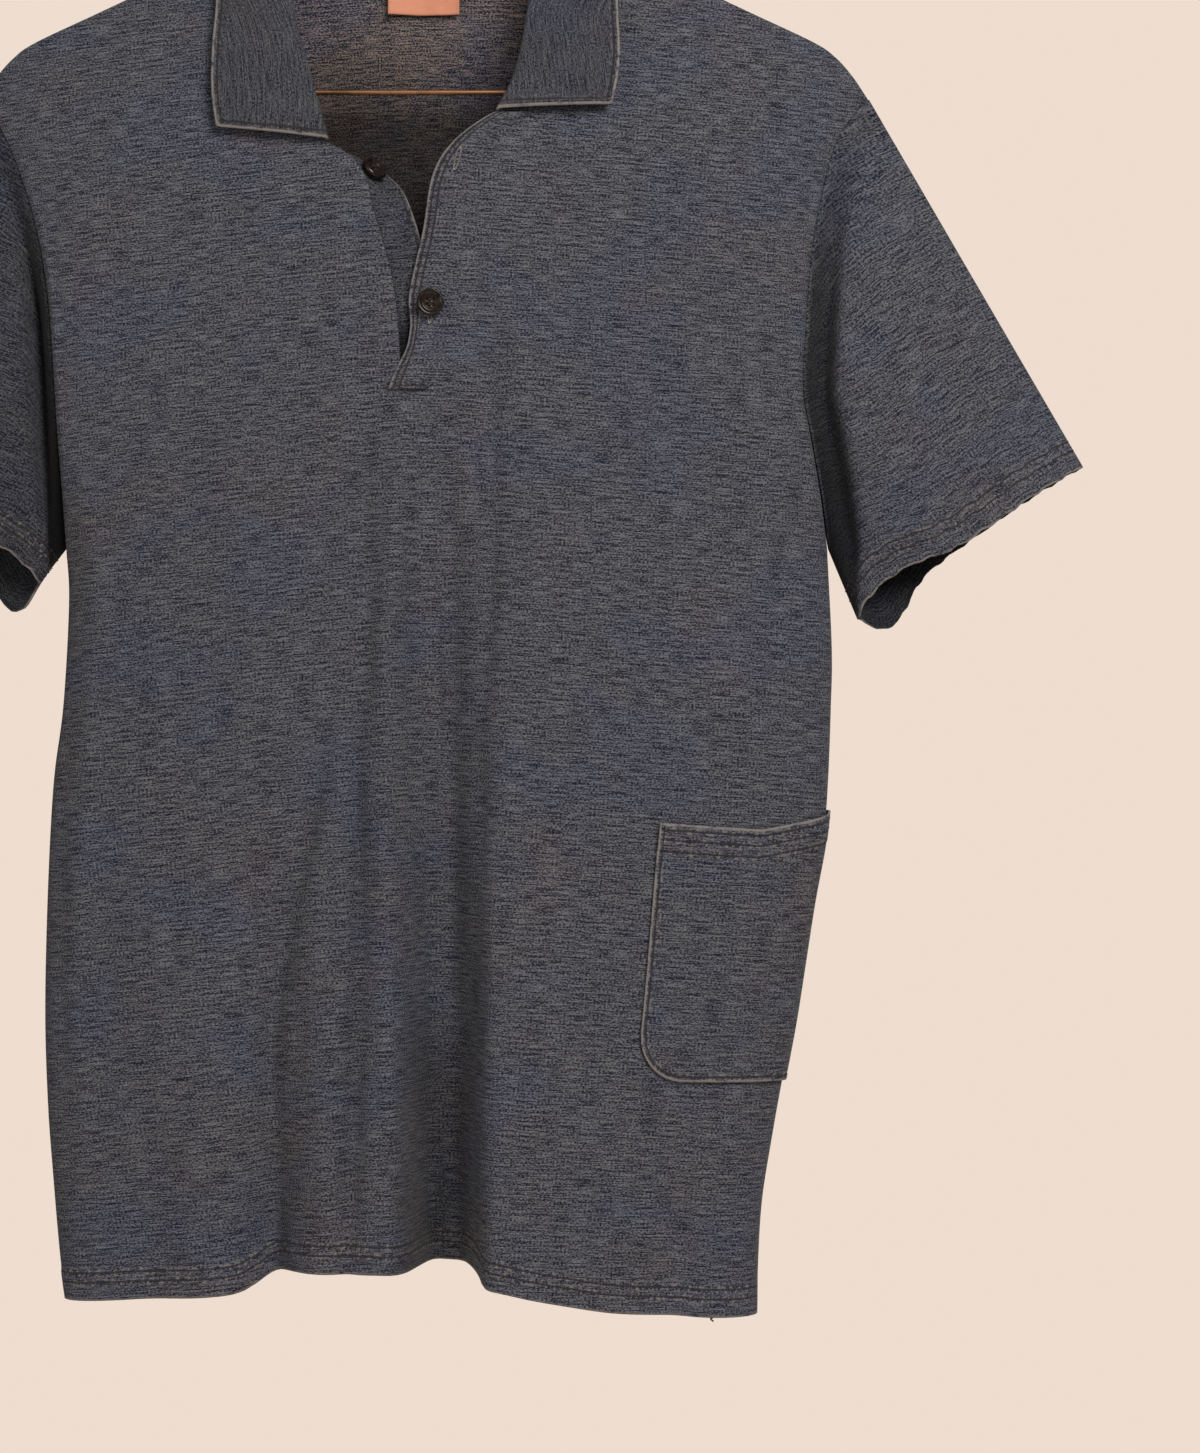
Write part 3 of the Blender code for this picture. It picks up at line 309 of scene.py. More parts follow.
class ShirtColours(bpy.types.PropertyGroup):
    """Colours of the finishes, in linear light."""
    knit: FloatVectorProperty(name="Knit", description="Ground colour of the washed knit",
                              default=(0.083, 0.084, 0.101), subtype="COLOR", min=0, max=1)
    knit_light: FloatVectorProperty(name="Light slubs", description="Colour of the light streaks",
                                    default=(0.19, 0.20, 0.215), subtype="COLOR", min=0, max=1)
    knit_dark: FloatVectorProperty(name="Dark slubs", description="Colour of the dark streaks",
                                   default=(0.011, 0.013, 0.026), subtype="COLOR", min=0, max=1)
    inside: FloatVectorProperty(name="Inside", description="Ground colour of the cloth's inside",
                                default=(0.108, 0.100, 0.104), subtype="COLOR", min=0, max=1)
    inside_light: FloatVectorProperty(name="Inside flecks", description="Undyed flecks inside",
                                      default=(0.33, 0.25, 0.21), subtype="COLOR", min=0, max=1)
    worn: FloatVectorProperty(name="Worn edge", description="Colour of rubbed edges and puckers",
                              default=(0.28, 0.255, 0.245), subtype="COLOR", min=0, max=1)
    thread: FloatVectorProperty(name="Thread", description="Colour of the sewing thread",
                                default=(0.030, 0.027, 0.034), subtype="COLOR", min=0, max=1)
    button: FloatVectorProperty(name="Button", description="Colour of the buttons",
                                default=(0.010, 0.006, 0.005), subtype="COLOR", min=0, max=1)
    label: FloatVectorProperty(name="Label", description="Colour of the bare neck label",
                               default=(0.93, 0.38, 0.225), subtype="COLOR", min=0, max=1)
    wire: FloatVectorProperty(name="Wire", description="Colour of the coppered wire",
                              default=(0.50, 0.27, 0.15), subtype="COLOR", min=0, max=1)
    wall: FloatVectorProperty(name="Backdrop", description="Colour of the pale surroundings",
                              default=(0.855, 0.725, 0.63), subtype="COLOR", min=0, max=1)


# ---------------------------------------------------------------- curves
def smooth_curve(points):
    """Dense Catmull-Rom curve through the points: a cubic between each two of them."""
    p = np.asarray(points, float)
    ends = np.vstack([2 * p[0] - p[1], p, 2 * p[-1] - p[-2]])
    t = np.linspace(0, 1, CURVE_STEPS, endpoint=False)[:, None]
    legs = [0.5 * (2 * b + (c - a) * t + (2 * a - 5 * b + 4 * c - d) * t**2
                   + (3 * b - a - 3 * c + d) * t**3)
            for a, b, c, d in zip(ends, ends[1:], ends[2:], ends[3:])]
    return np.vstack(legs + [p[-1:]])


def along(dense, shares):
    """Points at the given shares of a polyline's length."""
    steps = np.linalg.norm(np.diff(dense, axis=0), axis=1)
    length = np.concatenate([[0], np.cumsum(steps)])
    at = np.asarray(shares) * length[-1]
    return np.stack([np.interp(at, length, axis) for axis in dense.T], axis=1)


def spread(points, shares):
    """Points at the given shares of a smooth curve's length."""
    return along(smooth_curve(points), shares)


def smooth_step(t):
    """0 below 0 and 1 above 1, with an even start and end."""
    t = np.clip(t, 0, 1)
    return t * t * (3 - 2 * t)


def unit(vectors):
    """Vectors over their own lengths."""
    return vectors / np.linalg.norm(vectors, axis=-1, keepdims=True)


def middle_depth(height, back):
    """Depth of the body's middle at a height, read between the rows of DEPTH."""
    table = np.array(DEPTH)[::-1]
    return np.interp(height, table[:, 0], table[:, 2 if back else 1])


def border(parts, rows):
    """Points at real row numbers of a border made of (curve, first row, last row) parts."""
    points = np.zeros((len(rows), len(parts[0][0][0])))
    for curve, first, last in parts:
        inside = (rows >= first) & (rows <= last)
        points[inside] = spread(curve, (rows[inside] - first) / (last - first))
    return points


def fine_rows():
    """Row numbers of the fine grids: fifths, and about a millimetre apart in the hem's band."""
    band = LAST_ROW - HEM_BAND
    return np.round(np.concatenate([np.arange(0, band, ROW_STEP),
                                    np.linspace(band, LAST_ROW, HEM_BAND_ROWS)]), 6)


def grid_row(number):
    """Index of a row number in a panel's grid, below the rows that bend over the hanger."""
    return len(CAP_ANGLES) + int(np.argmin(np.abs(fine_rows() - number)))


# ---------------------------------------------------------------- body panels
def column_shares(columns):
    """Shares from the side seam to the middle: part even, part a cosine ease, fine at both ends."""
    t = np.linspace(0, 1, columns + 1)
    return EVEN_COLUMNS * t + (1 - EVEN_COLUMNS) * (1 - np.cos(pi * t)) / 2


def fold_depth(x, z, folds):
    """Sum of hanging folds: a bell across, centred on a line, whose depth grows as a power of the
    share of the way down to the hem."""
    total = np.zeros_like(x)
    for x_start, x_hem, z_start, width, depth, growth, square in folds:
        down = np.clip((z_start - z) / (z_start - HEM_HEIGHT), 0, 1.05)
        centre = x_start + (x_hem - x_start) * down
        across = np.exp(-(np.abs(x - centre) / width) ** (2 + square * down))
        total += depth * down**growth * across
    return total


def crease_depth(x, z, creases):
    """Sum of soft troughs (positive) and ridges: a bell across a line between two points, fading
    in a soft box along it, with a slow meander of a third of the width."""
    total = np.zeros_like(x)
    for x0, z0, x1, z1, width, depth in creases:
        length = np.hypot(x1 - x0, z1 - z0)
        dx, dz = (x1 - x0) / length, (z1 - z0) / length
        run = ((x - x0) * dx + (z - z0) * dz) / length
        off = (x - x0) * dz - (z - z0) * dx
        off = off + width * MEANDER * np.sin(MEANDER_TURNS * run + x0)
        swell = 1 + SWELL * np.sin(SWELL_TURNS * run + z0)
        fade = np.exp(-(np.abs(run - 0.5) / CREASE_REACH) ** CREASE_END)
        half = width * (CREASE_TAPER[0] + CREASE_TAPER[1] * run)
        total += depth * swell * fade * np.exp(-(off / half) ** 2)
    return total


def slack(x, z):
    """Slow unevenness of hung cloth: three crossing waves, 60 to 150 mm long."""
    return SLACK * sum(np.sin(a * x + b * z + c) for a, b, c in SLACK_WAVES)


def half_panel(side, middle, shoulder, hem, rows, shares, folds, creases, out):
    """Outer points of one half of a panel, rows from the shoulder to the hem.

    (x, z) is a Coons blend of the four borders.  The depth goes from the side's to the middle's as
    a superellipse of the share, less the folds and creases, which fade in from the side.  out is
    -1 for the front and 1 for the back.
    """
    top = spread(shoulder, shares)
    bottom = spread(hem, shares)
    u = shares[None, :, None]
    v = (rows / LAST_ROW)[:, None, None]
    left = side[:, None, [0, 2]]
    right = middle[:, None, [0, 2]]
    flat = ((1 - v) * top[None] + v * bottom[None] + (1 - u) * left + u * right
            - (1 - u) * ((1 - v) * top[0] + v * bottom[0])
            - u * ((1 - v) * top[-1] + v * bottom[-1]))
    profile = (1 - (1 - shares) ** PROFILE_POWER) ** (1 / PROFILE_POWER)
    depth = side[:, 1:2] + (middle[:, 1:2] - side[:, 1:2]) * profile[None]
    x, z = flat[..., 0], flat[..., 1]
    depth -= fold_depth(x, z, folds) * profile[None] ** 2
    fade = np.minimum(1, CREASE_FROM_SIDE * profile[None])
    fade = fade * np.clip(rows / CREASE_FROM_TOP, 0, 1)[:, None]
    depth -= (crease_depth(x, z, creases) + slack(x, z)) * fade
    depth += seam_ridge(x, z, rows)
    points = np.stack([x, out * depth, z], axis=2)
    return with_shoulder_cap(with_side_rest(points, out))


def seam_ridge(x, z, rows):
    """A low welt beside the armhole, where the seam allowance lies: a bell of the distance."""
    away = np.hypot(x - x[:, :1], z - z[:, :1])
    above = np.clip((ARM_ROWS - 0.5 - rows) / 2, 0, 1)[:, None]
    uneven = 1 + WELT_UNEVEN * np.sin(z * WELT_WAVES[0]) * np.sin(z * WELT_WAVES[1])
    return WELT * above * uneven * np.exp(-((away - WELT_AWAY) / WELT_WIDTH) ** 2)


def with_side_rest(points, out):
    """Doubles the first column, so that the side seam's edge runs straight back."""
    first = points[:, :1].copy()
    second = points[:, :1].copy()
    rest = np.abs(first[:, 0, 1]) < EDGE_REST[1] + 0.1
    first[rest, 0, 1] = out * EDGE_REST[0]
    second[rest, 0, 1] = out * EDGE_REST[1]
    toward = points[~rest, 1:2] - points[~rest, :1]
    second[~rest] += toward * 0.3
    return np.concatenate([first, second, points[:, 1:]], axis=1)


def with_shoulder_cap(points):
    """Adds the rows that bend over the hanger: an arc of radius RIDGE about the shoulder line."""
    line = points[0]
    out = np.sign(line[0, 1])
    step = np.gradient(line[:, [0, 2]], axis=0)
    up = unit(np.stack([-step[:, 1], step[:, 0]], axis=1))
    up *= np.sign(up[:, 1:])
    angles = np.radians(CAP_ANGLES)[:, None]
    x = line[None, :, 0] + up[None, :, 0] * RIDGE * np.cos(angles)
    z = line[None, :, 2] + up[None, :, 1] * RIDGE * np.cos(angles)
    y = np.broadcast_to(out * RIDGE * np.sin(angles), x.shape)
    return np.concatenate([np.stack([x, y, z], axis=2), points], axis=0)


def mirrored(curve):
    """The curve on the other side of x = 0."""
    return tuple((-row[0], *row[1:]) for row in curve)


def body_grids():
    """The four half panels, keyed by panel and hand, on the fine row numbers."""
    rows = fine_rows()
    side_seam = {"right": SIDE_RIGHT, "left": SIDE_LEFT}
    arm = {"right": ARMHOLE_RIGHT, "left": ARMHOLE_LEFT}
    shoulder = {"right": SHOULDER[::-1], "left": mirrored(SHOULDER[::-1])}
    neck = {"right": NECK_FRONT_RIGHT, "left": NECK_FRONT_LEFT}
    slit = {"right": SLIT_RIGHT, "left": SLIT_LEFT}
    front_hem = {"right": HEM_FRONT_RIGHT, "left": HEM_FRONT_LEFT}
    back_hem = {"right": HEM_BACK_RIGHT, "left": HEM_BACK_LEFT}
    grids = {}
    for hand in ("left", "right"):
        seam = tuple((x, EDGE_REST[1], z) for x, z in side_seam[hand])
        side = border(((seam, ARM_ROWS, LAST_ROW), (arm[hand], 0, ARM_ROWS)), rows)
        middle = border(((neck[hand], 0, NECK_ROWS), (slit[hand], NECK_ROWS, ARM_ROWS),
                         (CENTRE_FRONT, ARM_ROWS, LAST_ROW)), rows)
        middle = np.stack([middle[:, 0], middle_depth(middle[:, 1], False), middle[:, 1]], axis=1)
        grids["front", hand] = half_panel(
            side, middle, shoulder[hand], front_hem[hand], rows,
            column_shares(FRONT_COLUMNS * FRONT_FINE), FRONT_FOLDS, FRONT_CREASES, -1)
        neck_back = NECK_BACK if hand == "right" else mirrored(NECK_BACK)
        centre = tuple((x, middle_depth(z, True), z) for x, z in smooth_curve(CENTRE_BACK))
        low = rows >= NECK_ROWS
        middle = np.zeros((len(rows), 3))
        middle[~low] = spread(neck_back, rows[~low] / NECK_ROWS)
        middle[low] = along(np.array(centre), (rows[low] - NECK_ROWS) / (LAST_ROW - NECK_ROWS))
        grids["back", hand] = half_panel(
            side, middle, shoulder[hand], back_hem[hand], rows,
            column_shares(BACK_COLUMNS * BACK_FINE), BACK_FOLDS, BACK_CREASES, 1)
    return grids


# ---------------------------------------------------------------- grids and meshes
def grid_normals(grid, away):
    """Unit normals of a grid, turned so that they agree with the away vector."""
    normal = unit(np.cross(np.gradient(grid, axis=0), np.gradient(grid, axis=1)))
    return normal * np.sign((normal * np.asarray(away)).sum(axis=2).mean())


def sample(grid, rows, columns):
    """Bilinear values of a grid at broadcast real row and column indices."""
    r = np.clip(np.floor(rows).astype(int), 0, grid.shape[0] - 2)
    c = np.clip(np.floor(columns).astype(int), 0, grid.shape[1] - 2)
    fr = (rows - r)[..., None]
    fc = (columns - c)[..., None]
    return ((1 - fr) * ((1 - fc) * grid[r, c] + fc * grid[r, c + 1])
            + fr * ((1 - fc) * grid[r + 1, c] + fc * grid[r + 1, c + 1]))


def run_length(grid, axis):
    """Distance along each grid line from its first point."""
    steps = np.linalg.norm(np.diff(grid, axis=axis), axis=2)
    start = np.zeros_like(steps.take([0], axis=axis))
    return np.concatenate([start, np.cumsum(steps, axis=axis)], axis=axis)


def line_inside(grid, normals, distance):
    """Points and normals at a distance up from the grid's last row, one for each column."""
    flipped = grid[::-1]
    reach = run_length(flipped, 0)
    at = np.array([np.interp(distance, reach[:, c], np.arange(len(reach)))
                   for c in range(grid.shape[1])])
    columns = np.arange(grid.shape[1])
    return sample(flipped, at, columns), unit(sample(normals[::-1], at, columns))


def quads(rows, columns, start=0):
    """Corner numbers of a grid's faces."""
    i = start + np.arange(rows * columns).reshape(rows, columns)
    return np.stack([i[:-1, :-1], i[:-1, 1:], i[1:, 1:], i[1:, :-1]], axis=-1).reshape(-1, 4)


def cloth_mesh(name, patches, away):
    """One mesh of grid patches, joined where they meet and facing away(points).

    A patch is a dict: points (rows, columns, 3), uv in mm along and across the courses, the
    distances in mm from its worn edge and from its hem, and the share of painted shade in its folds.
    """
    points = np.concatenate([p["points"].reshape(-1, 3) for p in patches]) * MM
    uv = np.concatenate([p["uv"].reshape(-1, 2) for p in patches]) * MM
    faces = []
    start = 0
    for patch in patches:
        rows, columns = patch["points"].shape[:2]
        face = quads(rows, columns, start)
        corner = points[face]
        normal = np.cross(corner[:, 2] - corner[:, 0], corner[:, 3] - corner[:, 1])
        if (normal * away(corner.mean(axis=1))).sum() < 0:
            face = face[:, ::-1]
        faces.append(face)
        start += rows * columns
    faces = np.concatenate(faces)
    mesh = bpy.data.meshes.new(name)
    mesh.from_pydata(points, [], faces)
    layer = mesh.uv_layers.new(name="cloth")
    layer.uv.foreach_set("vector", uv[faces.ravel()].ravel())
    for key in ("edge", "hem", "painted_shade"):
        values = np.concatenate([p.get(key, 0 * p["edge"]).ravel() for p in patches])
        values = values * (1 if key == "painted_shade" else MM)
        mesh.attributes.new(key, "FLOAT", "POINT").data.foreach_set("value", values)
    if len(patches) > 1:
        join_patches(mesh)
    mesh.shade_smooth()
    return mesh


def join_patches(mesh):
    """Merges the points that patches share."""
    bm = bmesh.new()
    bm.from_mesh(mesh)
    bmesh.ops.remove_doubles(bm, verts=bm.verts, dist=0.00001)
    bm.to_mesh(mesh)
    bm.free()


def place(name, mesh, materials, nodes=(), wall=0.0):
    """An object on the shirt's body, with its finish, its wall and the nodes that it stands for."""
    thing = bpy.data.objects.new(name, mesh)
    bpy.context.scene.collection.objects.link(thing)
    for surface in materials:
        mesh.materials.append(surface)
    if wall:
        solid = thing.modifiers.new("wall", "SOLIDIFY")
        solid.thickness = wall
        solid.offset = -1
        solid.use_even_offset = False
        solid.material_offset = len(materials) - 1
    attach(thing, BODY)
    if nodes:
        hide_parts(*nodes)
    return thing


def same_way(x, y, z):
    """A function that gives the same outward vector for every point."""
    return lambda points: np.array((x, y, z), float)


def stitches(runs, sizes, lift=0.05):
    """One mesh of sewing stitches along runs of (points, normals).

    A stitch is a spindle: five rings of five points about a low arch from one needle hole to the
    next, thinnest at its ends.
    """
    rings = []
    for points, normals in runs:
        steps = np.linalg.norm(np.diff(points, axis=0), axis=1)
        length = np.concatenate([[0], np.cumsum(steps)])
        pitch = sizes.stitch / MM
        count = max(1, int(length[-1] / pitch))
        first = np.arange(count) * length[-1] / count
        t = np.linspace(0, 1, STITCH_RINGS)
        at = first[:, None] + (0.09 + 0.82 * t[None]) * length[-1] / count
        centre = np.stack([np.interp(at, length, axis) for axis in points.T], axis=2)
        normal = unit(np.stack([np.interp(at, length, axis) for axis in normals.T], axis=2))
        arch = np.sin(pi * t)[None, :, None]
        centre = centre + normal * (lift + 0.28 * arch**0.5)
        ahead = unit(centre[:, -1:] - centre[:, :1]) + 0 * centre
        side = unit(np.cross(ahead, normal))
        up = np.cross(side, ahead)
        radius = sizes.thread / MM * (0.3 + 0.7 * arch**0.6)
        turn = np.arange(STITCH_SIDES) * 2 * pi / STITCH_SIDES
        ring = (centre[:, :, None] + radius[..., None] * (np.cos(turn)[None, None, :, None]
                * side[:, :, None] + np.sin(turn)[None, None, :, None] * up[:, :, None]))
        rings.append(ring)
    rings = np.concatenate(rings)
    count = len(rings)
    base = np.arange(count)[:, None, None] * STITCH_RINGS * STITCH_SIDES
    i = base + np.arange(STITCH_RINGS - 1)[None, :, None] * STITCH_SIDES
    j = np.arange(STITCH_SIDES)[None, None, :]
    k = (j + 1) % STITCH_SIDES
    sides = np.stack([i + j, i + k, i + STITCH_SIDES + k, i + STITCH_SIDES + j], axis=-1)
    first = base[:, 0] + np.arange(STITCH_SIDES)[::-1]
    last = base[:, 0] + (STITCH_RINGS - 1) * STITCH_SIDES + np.arange(STITCH_SIDES)
    faces = sides.reshape(-1, 4).tolist() + first.tolist() + last.tolist()
    mesh = bpy.data.meshes.new("stitches")
    mesh.from_pydata(rings.reshape(-1, 3) * MM, [], faces)
    mesh.shade_smooth()
    return mesh


def tube(points, radius, sides, name):
    """A round tube along a path: rings square to it, carried from one to the next without twist."""
    ahead = unit(np.gradient(points, axis=0))
    side = np.zeros_like(points)
    side[0] = unit(np.cross(ahead[0], (0.3, 1.0, 0.2)))
    for n in range(1, len(points)):
        carried = side[n - 1] - ahead[n] * side[n - 1].dot(ahead[n])
        side[n] = carried / np.linalg.norm(carried)
    up = np.cross(ahead, side)
    turn = np.arange(sides + 1) * 2 * pi / sides
    radius = np.broadcast_to(radius, (len(points),))[:, None, None]
    rings = points[:, None] + radius * (np.cos(turn)[None, :, None] * side[:, None]
                                        + np.sin(turn)[None, :, None] * up[:, None])
    reach = run_length(rings, 0)
    uv = np.stack([reach, np.broadcast_to(turn, reach.shape)], axis=2)
    rows, columns = reach.shape
    inner = rings[:, :-1].reshape(-1, 3)
    wrap = np.arange(rows * sides).reshape(rows, sides)
    wrap = np.concatenate([wrap, wrap[:, :1]], axis=1)
    faces = np.stack([wrap[:-1, :-1], wrap[:-1, 1:], wrap[1:, 1:], wrap[1:, :-1]], axis=-1)
    faces = faces.reshape(-1, 4)[:, ::-1].tolist()
    faces += [wrap[0, :-1].tolist(), wrap[-1, :-1][::-1].tolist()]
    mesh = bpy.data.meshes.new(name)
    mesh.from_pydata(inner * MM, [], faces)
    layer = mesh.uv_layers.new(name="cloth")
    flat = np.zeros((len(mesh.loops), 2))
    quad_uv = uv[quads_index(rows, columns)][:, ::-1].reshape(-1, 2)
    flat[:len(quad_uv)] = quad_uv * (MM, 1)
    layer.uv.foreach_set("vector", flat.ravel())
    mesh.shade_smooth()
    return mesh


def quads_index(rows, columns):
    """Row and column indices of a grid's face corners."""
    return np.unravel_index(quads(rows, columns), (rows, columns))


# ---------------------------------------------------------------- cloth pieces
def course_height(grid, hand):
    """Height of a knit course: it sinks from the middle to the sides along a hyperbola."""
    turn = np.sqrt(grid[..., 0] ** 2 + DROOP_SPAN**2) - DROOP_SPAN
    return grid[..., 2] + DROOP[hand] * turn


def panel_patches(grids, panel):
    """Both halves of a panel, with courses that droop to the sides and distances to its edges."""
    patches = []
    painted_dark = FRONT_PAINTED_SHADE if panel == "front" else BACK_PAINTED_SHADE
    for hand in ("left", "right"):
        grid = grids[panel, hand]
        x = grid[..., 0]
        across = run_length(grid[:, ::-1], 1)[:, ::-1]
        across = x[:, -1:] + np.where(hand == "left", -across, across)
        hem = run_length(grid[::-1], 0)[::-1]
        seam = run_length(grid, 1)
        uv = np.stack([across, course_height(grid, hand)], axis=2)
        # Painted shade along the panel's listed folds.
        patches.append({"points": grid, "uv": uv, "edge": seam, "hem": hem,
                        "painted_shade": crease_depth(x, grid[..., 2], painted_dark)})
    return patches


def trough(grid, hand, border, layer, turn):
    """Share of its depth that one layer of a sleeve sinks by, beside the armhole's border."""
    side = 1 if hand == "right" else -1
    centre, inner, outer, share = TROUGH[hand, layer]
    out = side * (grid[..., 0] - np.interp(-grid[..., 2], -border[:, 2], border[:, 0])) - centre
    bell = np.exp(-(out / np.where(out < 0, inner, outer)) ** 2)
    return share * bell * np.interp(turn, TROUGH_TURNS, (0, 1, 1, 0))


def sleeve_patch(grids, hand, cuff_front, cuff_back):
    """Rings from the armhole to the cuff, over the front and round the back.

    A point goes straight from the armhole to the cuff, plus a swell of a half sine along the
    sleeve, plus the trough beside the armhole and the creases, pressed in square to the layer.  The
    cuff's edge is a little wavy, and a first ring tucks the sleeve under the panels.
    """
    side = 1 if hand == "right" else -1
    front, back = grids["front", hand], grids["back", hand]
    last = grid_row(ARM_ROWS)
    border_front = front[1:last + 1, 0]
    border_back = back[1:last + 1, 0]
    top = (front[0, 0] + back[0, 0]) / 2
    foot = (border_front[-1] + border_back[-1]) / 2
    steps = np.linalg.norm(np.diff(np.vstack([top, border_front]), axis=0), axis=1)
    share = np.concatenate([[0], np.cumsum(steps)])
    share = share / share[-1]
    arm = np.vstack([top, border_front[:-1], foot, border_back[-2::-1], top])
    turn = np.concatenate([share, share[-2::-1]])
    layer = np.concatenate([-np.ones(len(share)), np.ones(len(share) - 1)])
    bulge = np.sin(pi * turn) ** 0.7
    edge = np.vstack([spread(cuff_front, share), spread(cuff_back, share[-2::-1])])
    reach = np.where(layer < 0, CUFF_DEPTH_FRONT, CUFF_DEPTH_BACK)
    rounding = np.minimum(np.abs(arm[:, 1]), RIDGE)
    depth = ((reach * bulge) ** 3 + rounding**3) ** (1 / 3)
    cuff = np.stack([edge[:, 0], layer * depth, edge[:, 1]], axis=1)
    start = np.array((side, 0, 0)) + 0.5 * unit(cuff - arm)
    arm = arm + SEAM * unit(start)
    k = np.concatenate([np.linspace(0, CUFF_SHARE, SLEEVE_RINGS)[:-1],
                        np.linspace(CUFF_SHARE, 1, CUFF_RINGS)])[:, None, None]
    around = run_length(cuff[None], 1)[0]
    wave = sum(height * np.sin(turns * around + start_at) for height, turns, start_at in CUFF_WAVES)
    cuff = cuff + unit(cuff - arm) * wave[:, None]
    grid = (1 - k) * arm[None] + k * cuff[None]
    grid[..., 1] += SLEEVE_SWELL * np.sin(pi * k[..., 0]) * (layer * bulge)[None]
    fade = np.sin(pi * turn) ** 0.5 * np.clip(k[..., 0] / 0.06, 0, 1)
    begun = np.clip(k[..., 0] / 0.07, 0, 1)
    painted_shade = 0 * grid[..., 0]
    for sign, border in ((-1, border_front), (1, border_back)):
        sunk = trough(grid, hand, border, sign, turn) * begun
        grid[..., 1] *= 1 - np.where(layer == sign, sunk, 0)
        press = crease_depth(grid[..., 0], grid[..., 2], SLEEVE_CREASES[hand, sign])
        press = press + slack(grid[..., 0], grid[..., 2]) * np.clip(k[..., 0] * 5, 0, 1)
        grid[..., 1] -= np.where(layer == sign, sign * press * fade, 0)
        # Painted shade in the trough beside the armhole, by the distance from it.
        out = side * (grid[..., 0] - np.interp(-grid[..., 2], -border[:, 2], border[:, 0]))
        near, far = TROUGH_PAINTED_SHADE[hand, sign]
        deep = smooth_step(out / near) * (1 - smooth_step((out - far) / (0.25 * far) + 0.5))
        painted_shade = np.where(layer == sign, deep * np.interp(turn, TROUGH_TURNS, (0.2, 0.75, 1, 1)), painted_shade)
    hem = run_length(grid[::-1], 0)[::-1]
    grid[..., 1] += layer * CUFF_WELT * np.sin(pi * turn) * hem_welt(hem)
    outward = unit(np.cross(grid[1] - grid[0], np.gradient(grid[0], axis=0)))
    outward *= np.sign((outward[:, 1] * layer).sum())
    tuck = grid[0] - outward * TUCK[0] - unit(grid[1] - grid[0]) * TUCK[1]
    grid = np.concatenate([tuck[None], grid])
    hem, painted_shade = (np.concatenate([values[:1], values]) for values in (hem, painted_shade))
    around = run_length(grid[-1:], 1) + 0 * hem
    return {"points": grid, "uv": np.stack([around, -hem], axis=2), "edge": run_length(grid, 0),
            "hem": hem, "painted_shade": painted_shade}


def hem_welt(hem):
    """Height of a doubled hem over single cloth: 1 below the upper row of stitches, 0 above."""
    return 1 / (1 + np.exp((hem - HEM_FOLD) / HEM_FOLD_STEP))


def neckline(grids):
    """Seam points, wall directions and inward directions round the neck, left end to right."""
    bend = len(CAP_ANGLES) - 1
    rows = grid_row(NECK_ROWS)
    borders = {}
    for (panel, hand), grid in grids.items():
        normals = grid_normals(grid, (0, -1 if panel == "front" else 1, 0))
        inward = unit(grid[:, -1] - grid[:, -2])
        borders[panel, hand] = np.stack([grid[:, -1], normals[:, -1], inward])

    def ridge(hand):
        """The station on top of the shoulder, midway between front and back."""
        middle = (borders["front", hand][:, 0] + borders["back", hand][:, 0]) / 2
        middle[1:] = unit(middle[1:])
        return middle[:, None]

    left, right = borders["front", "left"], borders["front", "right"]
    stations = [left[:, rows:bend - 1:-1], ridge("left"),
                borders["back", "left"][:, bend:rows + 1],
                borders["back", "right"][:, rows - 1:bend - 1:-1], ridge("right"),
                right[:, bend:rows + 1]]
    return np.concatenate(stations, axis=1)


